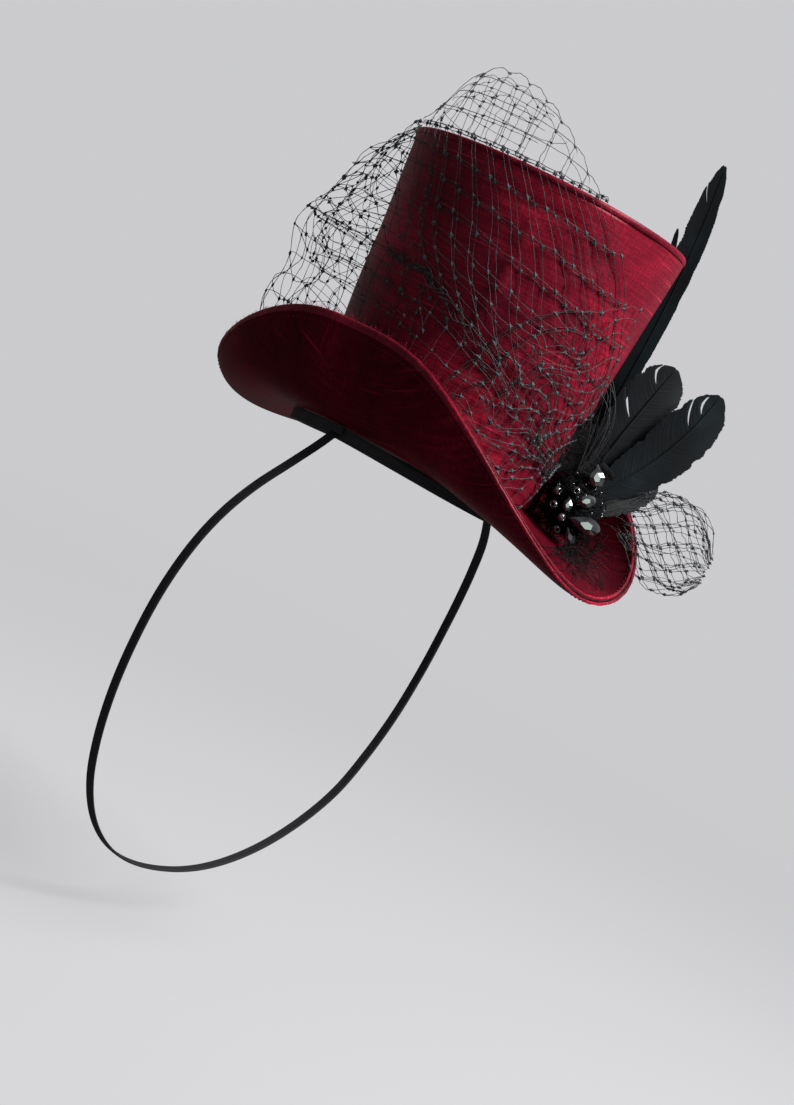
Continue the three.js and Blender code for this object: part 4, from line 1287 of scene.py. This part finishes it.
def makeDrop(bead):
    # Rows of facets round the bead, and one facet cut flat on its front at the wide end, coloured pale green
    # as a painted reflection.
    count, table = glassForm["sides"], glassForm["tableDepth"] * bead["width"] / 2
    along, share = np.array(dropProfile).T[..., None]
    y, radius = along * bead["length"] / 2, share * bead["width"] / 2
    turn = (np.arange(count) + 0.5) * 2 * np.pi / count
    x, z = radius * np.sin(turn), radius * np.cos(turn)
    x = np.where(z > table, x * np.interp(along, (-0.45, -0.1, 0.25), (0.72, 1.1, 0.3)), x)
    z = np.minimum(z, table)
    lean = math.radians(bead["lean"])
    _, normal = onCluster(bead["out"], bead["up"], 0.0)
    towards = -float(np.array([math.sin(lean), 0, math.cos(lean)]) @ normal)
    reach = float(np.max(y * towards + radius * math.sqrt(1 - towards**2)))
    middle, _ = onCluster(bead["out"], bead["up"], reach + clusterForm["gap"] + bead["lift"])
    points = inFrame(middle, beadFrame(bead["lean"], 0), x, y, z)
    faces = cappedFaces(len(y), count)
    piece = makePiece(bead["name"] + "_glass", points, faces, blackGlass, "glass", smooth=False)
    front = (z >= table - 1e-6).ravel()[faces].all(axis=1)
    # The flat front facets near the wide end take the pale green: a painted reflection.
    secondLook(piece, tableReflection, front & (np.repeat(y, count)[faces].mean(axis=1) < 0.2 * bead["length"]))
    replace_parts(piece, bead["name"])


def ringBead(middle, axes, size, hole, sides, rows):
    # A round bead whose section is an arc from the hole's one mouth to the other, closed inside.
    outer, inner = size / 2, hole / 2
    bend = np.linspace(-1.05, 1.05, rows)
    radius = np.concatenate([outer * np.cos(bend), [inner, inner]])
    high = np.concatenate([0.86 * outer * np.sin(bend), [0.6 * outer, -0.6 * outer]])
    turn = fullTurn(sides)[:, None]
    points = inFrame(middle, axes, radius * np.cos(turn), radius * np.sin(turn), high)
    return points.reshape(-1, 3), ringFaces(points)


def makeRound(bead):
    # A ring that touches the pad's gap, turned by its tilt.
    size = glassForm["roundSize"]
    middle, _ = onCluster(bead["out"], bead["up"], size / 2 + clusterForm["gap"])
    ring = ringBead(middle, beadFrame(0, bead["tilt"]), size, glassForm["roundHole"], 28, 12)
    piece = makePiece(bead["name"] + "_glass", *ring, blackGlass, "glass")
    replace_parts(piece, bead["name"])


def clusterBacking(form):
    # An egg with slow dents, pushed clear of the crown's wall and of the brim.
    turn = fullTurn(form["around"])
    rise = np.linspace(0.03, np.pi - 0.03, form["rings"])[:, None]
    dents = 0.9 + 0.05 * np.sin(9 * turn + 3 * rise) * np.sin(7 * rise)
    dents = dents + 0.04 * np.sin(17 * turn - 11 * rise)
    local = np.stack([np.sin(rise) * np.cos(turn), np.sin(rise) * np.sin(turn), np.cos(rise) + 0 * turn], -1)
    local = local * dents[..., None] * clusterSize
    points = clusterMiddle + fromTrim(*np.moveaxis(local, -1, 0))
    angle = np.degrees(np.arctan2(points[..., 0], -points[..., 1]))
    radius = np.linalg.norm(points[..., :2], axis=-1)
    clearWall = crownRadius(points[..., 2]) + form["gap"] + 0.3
    points[..., :2] *= np.maximum(clearWall / radius, 1)[..., None]
    clearBrim = (hatForm["brimHalfStack"] + form["gap"]) * 1.12
    lowest = brimHeightAt(angle, np.maximum(radius, clearWall)) + clearBrim
    points[..., 2] = np.maximum(points[..., 2], lowest)
    points = points.reshape(-1, 3)
    return points, outward(points - clusterMiddle, cappedFaces(form["rings"], form["around"]))


def makeCluster(form):
    # A crumpled egg of gathered net, with loops of thread over it and seed beads sewn on.
    t = np.linspace(0, 2 * np.pi, 20)
    loops = []
    for k in range(form["loops"]):
        out, up = rng.uniform(*form["loopOut"]), rng.uniform(*form["loopUp"])
        if k >= form["loops"] - form["tallLoops"]:
            out, up = rng.uniform(*form["tallOut"]), rng.uniform(*form["tallUp"])
        size = rng.uniform(*form["loopSize"])
        phase = rng.uniform(0, 2 * np.pi, 3)
        o = out + size * np.cos(t + phase[0])
        u = up + size * rng.uniform(0.4, 1) * np.sin(t + phase[1])
        tall = np.where(u > 0, 1.6, 1) * np.select([o < -0.5, o < 0.2], [1.5, 1], 0.7)
        inside = np.minimum(form["loopReach"] / np.maximum(np.hypot(o, u / tall), 1e-6), 1)
        loops.append(onCluster(o * inside, u * inside, 0.5 + 0.5 * np.sin(2 * t + phase[2]))[0])
    threads = tubes(np.stack(loops), form["loopThread"], 4)
    parts = joined([clusterBacking(form), threads, brimStrands(form["strands"])])
    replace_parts(makePiece("cluster_backing", *parts, darkThread, "ribbon"), "cluster_pad")
    seeds = []
    for _ in range(glassForm["seeds"]):
        out, up = rng.uniform(-0.9, 0.9, 2)
        if out * out + up * up > 0.85:
            continue
        middle, _ = onCluster(out, up, glassForm["seedSize"] / 2 + 0.15)
        axes = beadFrame(rng.uniform(0, 180), rng.uniform(0, 180))
        seeds.append(ringBead(middle, axes, glassForm["seedSize"], glassForm["seedHole"], 12, 6))
    makePiece("seed_beads", *joined(seeds), blackGlass, "glass")


for bead in dropBeads:
    makeDrop(bead)
for bead in roundBeads:
    makeRound(bead)
makeCluster(clusterForm)
print("beads made")


# floor, lights and world
stageLook = {
    "floorHeight": -0.2, "floorReach": 2.4, "fadeFrom": 0.2, "fadeTo": 1.3, "rings": 24, "sides": 64,
    "floor": (0.14, 0.14, 0.145), "glow": 0.44, "backdrop": (0.60, 0.60, 0.62), "ambient": 0.17,
}


def linkAll(tree, pairs):
    for source, target in pairs:
        tree.links.new(source, target)


def makeFloor(look):
    # A disc that fades out by its distance from the middle, so that no horizon shows.
    radius, turn = np.linspace(0, look["floorReach"], look["rings"])[:, None], fullTurn(look["sides"])
    x, y = radius * np.cos(turn), radius * np.sin(turn)
    points = np.stack([x, y, np.full_like(x, look["floorHeight"])], -1).reshape(-1, 3)
    mesh = bpy.data.meshes.new("floor")
    faces = gridFaces(look["rings"], look["sides"], wrapColumns=True)
    mesh.from_pydata(points.tolist(), [], faces.tolist())
    material, tree, shader = newMaterial("floor", {
        "Roughness": 0.7, "Specular IOR Level": 0.2,
        "Base Color": (*look["floor"], 1), "Emission Color": (1, 1, 1.02, 1),
    })
    seen = addNode(tree, "LightPath")
    glow = addNode(tree, "Math", {1: look["glow"]}, operation="MULTIPLY")
    centre = addNode(tree, "TexCoord")
    flat = addNode(tree, "VectorMath", {1: (1, 1, 0)}, operation="MULTIPLY")
    reach = addNode(tree, "VectorMath", operation="LENGTH")
    edges = {"From Min": look["fadeFrom"], "From Max": look["fadeTo"]}
    fade = addNode(tree, "MapRange", edges, interpolation_type="SMOOTHSTEP")
    clear = addNode(tree, "BsdfTransparent")
    mix = addNode(tree, "MixShader")
    linkAll(tree, [
        (seen.outputs["Is Camera Ray"], glow.inputs[0]),
        (glow.outputs["Value"], shader.inputs["Emission Strength"]),
        (centre.outputs["Object"], flat.inputs[0]),
        (flat.outputs["Vector"], reach.inputs[0]),
        (reach.outputs["Value"], fade.inputs["Value"]),
        (fade.outputs["Result"], mix.inputs["Fac"]),
        (shader.outputs["BSDF"], mix.inputs[1]),
        (clear.outputs["BSDF"], mix.inputs[2]),
        (mix.outputs["Shader"], tree.nodes["Material Output"].inputs["Surface"]),
    ])
    mesh.materials.append(material)
    floor = newObject("floor", mesh)


lights = [
    {
        "name": "key", "right": 1.0, "up": 0.42, "back": 0.4,
        "size": 0.5, "power": 33.0, "colour": (1, 0.98, 0.96),
    },
    {
        "name": "fill", "right": -0.5, "up": 0.6, "back": 0.9,
        "size": 1.2, "power": 0.5, "colour": (0.95, 0.97, 1),
    },
    {"name": "rim", "right": 0.7, "up": 0.8, "back": -0.6, "size": 0.5, "power": 1.8, "colour": (1, 1, 1)},
]


def makeLights(table):
    # Square lamps placed along the camera's own axes, in metres, and aimed at the hat.
    right, up, back = cameraAxes(cameraFit)
    for row in table:
        place = right * row["right"] + up * row["up"] + back * row["back"]
        lamp = bpy.data.lights.new(row["name"], "AREA")
        lamp.size = row["size"]
        lamp.energy = row["power"]
        lamp.color = row["colour"]
        light = newObject(row["name"], lamp)
        light.location = place
        light.rotation_euler = place.to_track_quat("Z", "Y").to_euler()


def makeWorld(look):
    # What the camera sees behind the hat is a plain pale grey, and the light it gives is dimmer.
    world = bpy.data.worlds.new("world")
    world.use_nodes = True
    tree = world.node_tree
    backdrop = tree.nodes["Background"]
    setInputs(backdrop, {"Color": (*look["backdrop"], 1)})
    ambient = addNode(tree, "Background", {"Color": (0.95, 0.97, 1, 1), "Strength": look["ambient"]})
    path = addNode(tree, "LightPath")
    mix = addNode(tree, "MixShader")
    linkAll(tree, [
        (path.outputs["Is Camera Ray"], mix.inputs["Fac"]),
        (ambient.outputs["Background"], mix.inputs[1]),
        (backdrop.outputs["Background"], mix.inputs[2]),
        (mix.outputs["Shader"], tree.nodes["World Output"].inputs["Surface"]),
    ])
    bpy.context.scene.world = world


makeFloor(stageLook)
makeLights(lights)
makeWorld(stageLook)
bpy.context.scene.view_settings.view_transform = "Standard"
print("stage and lights made")
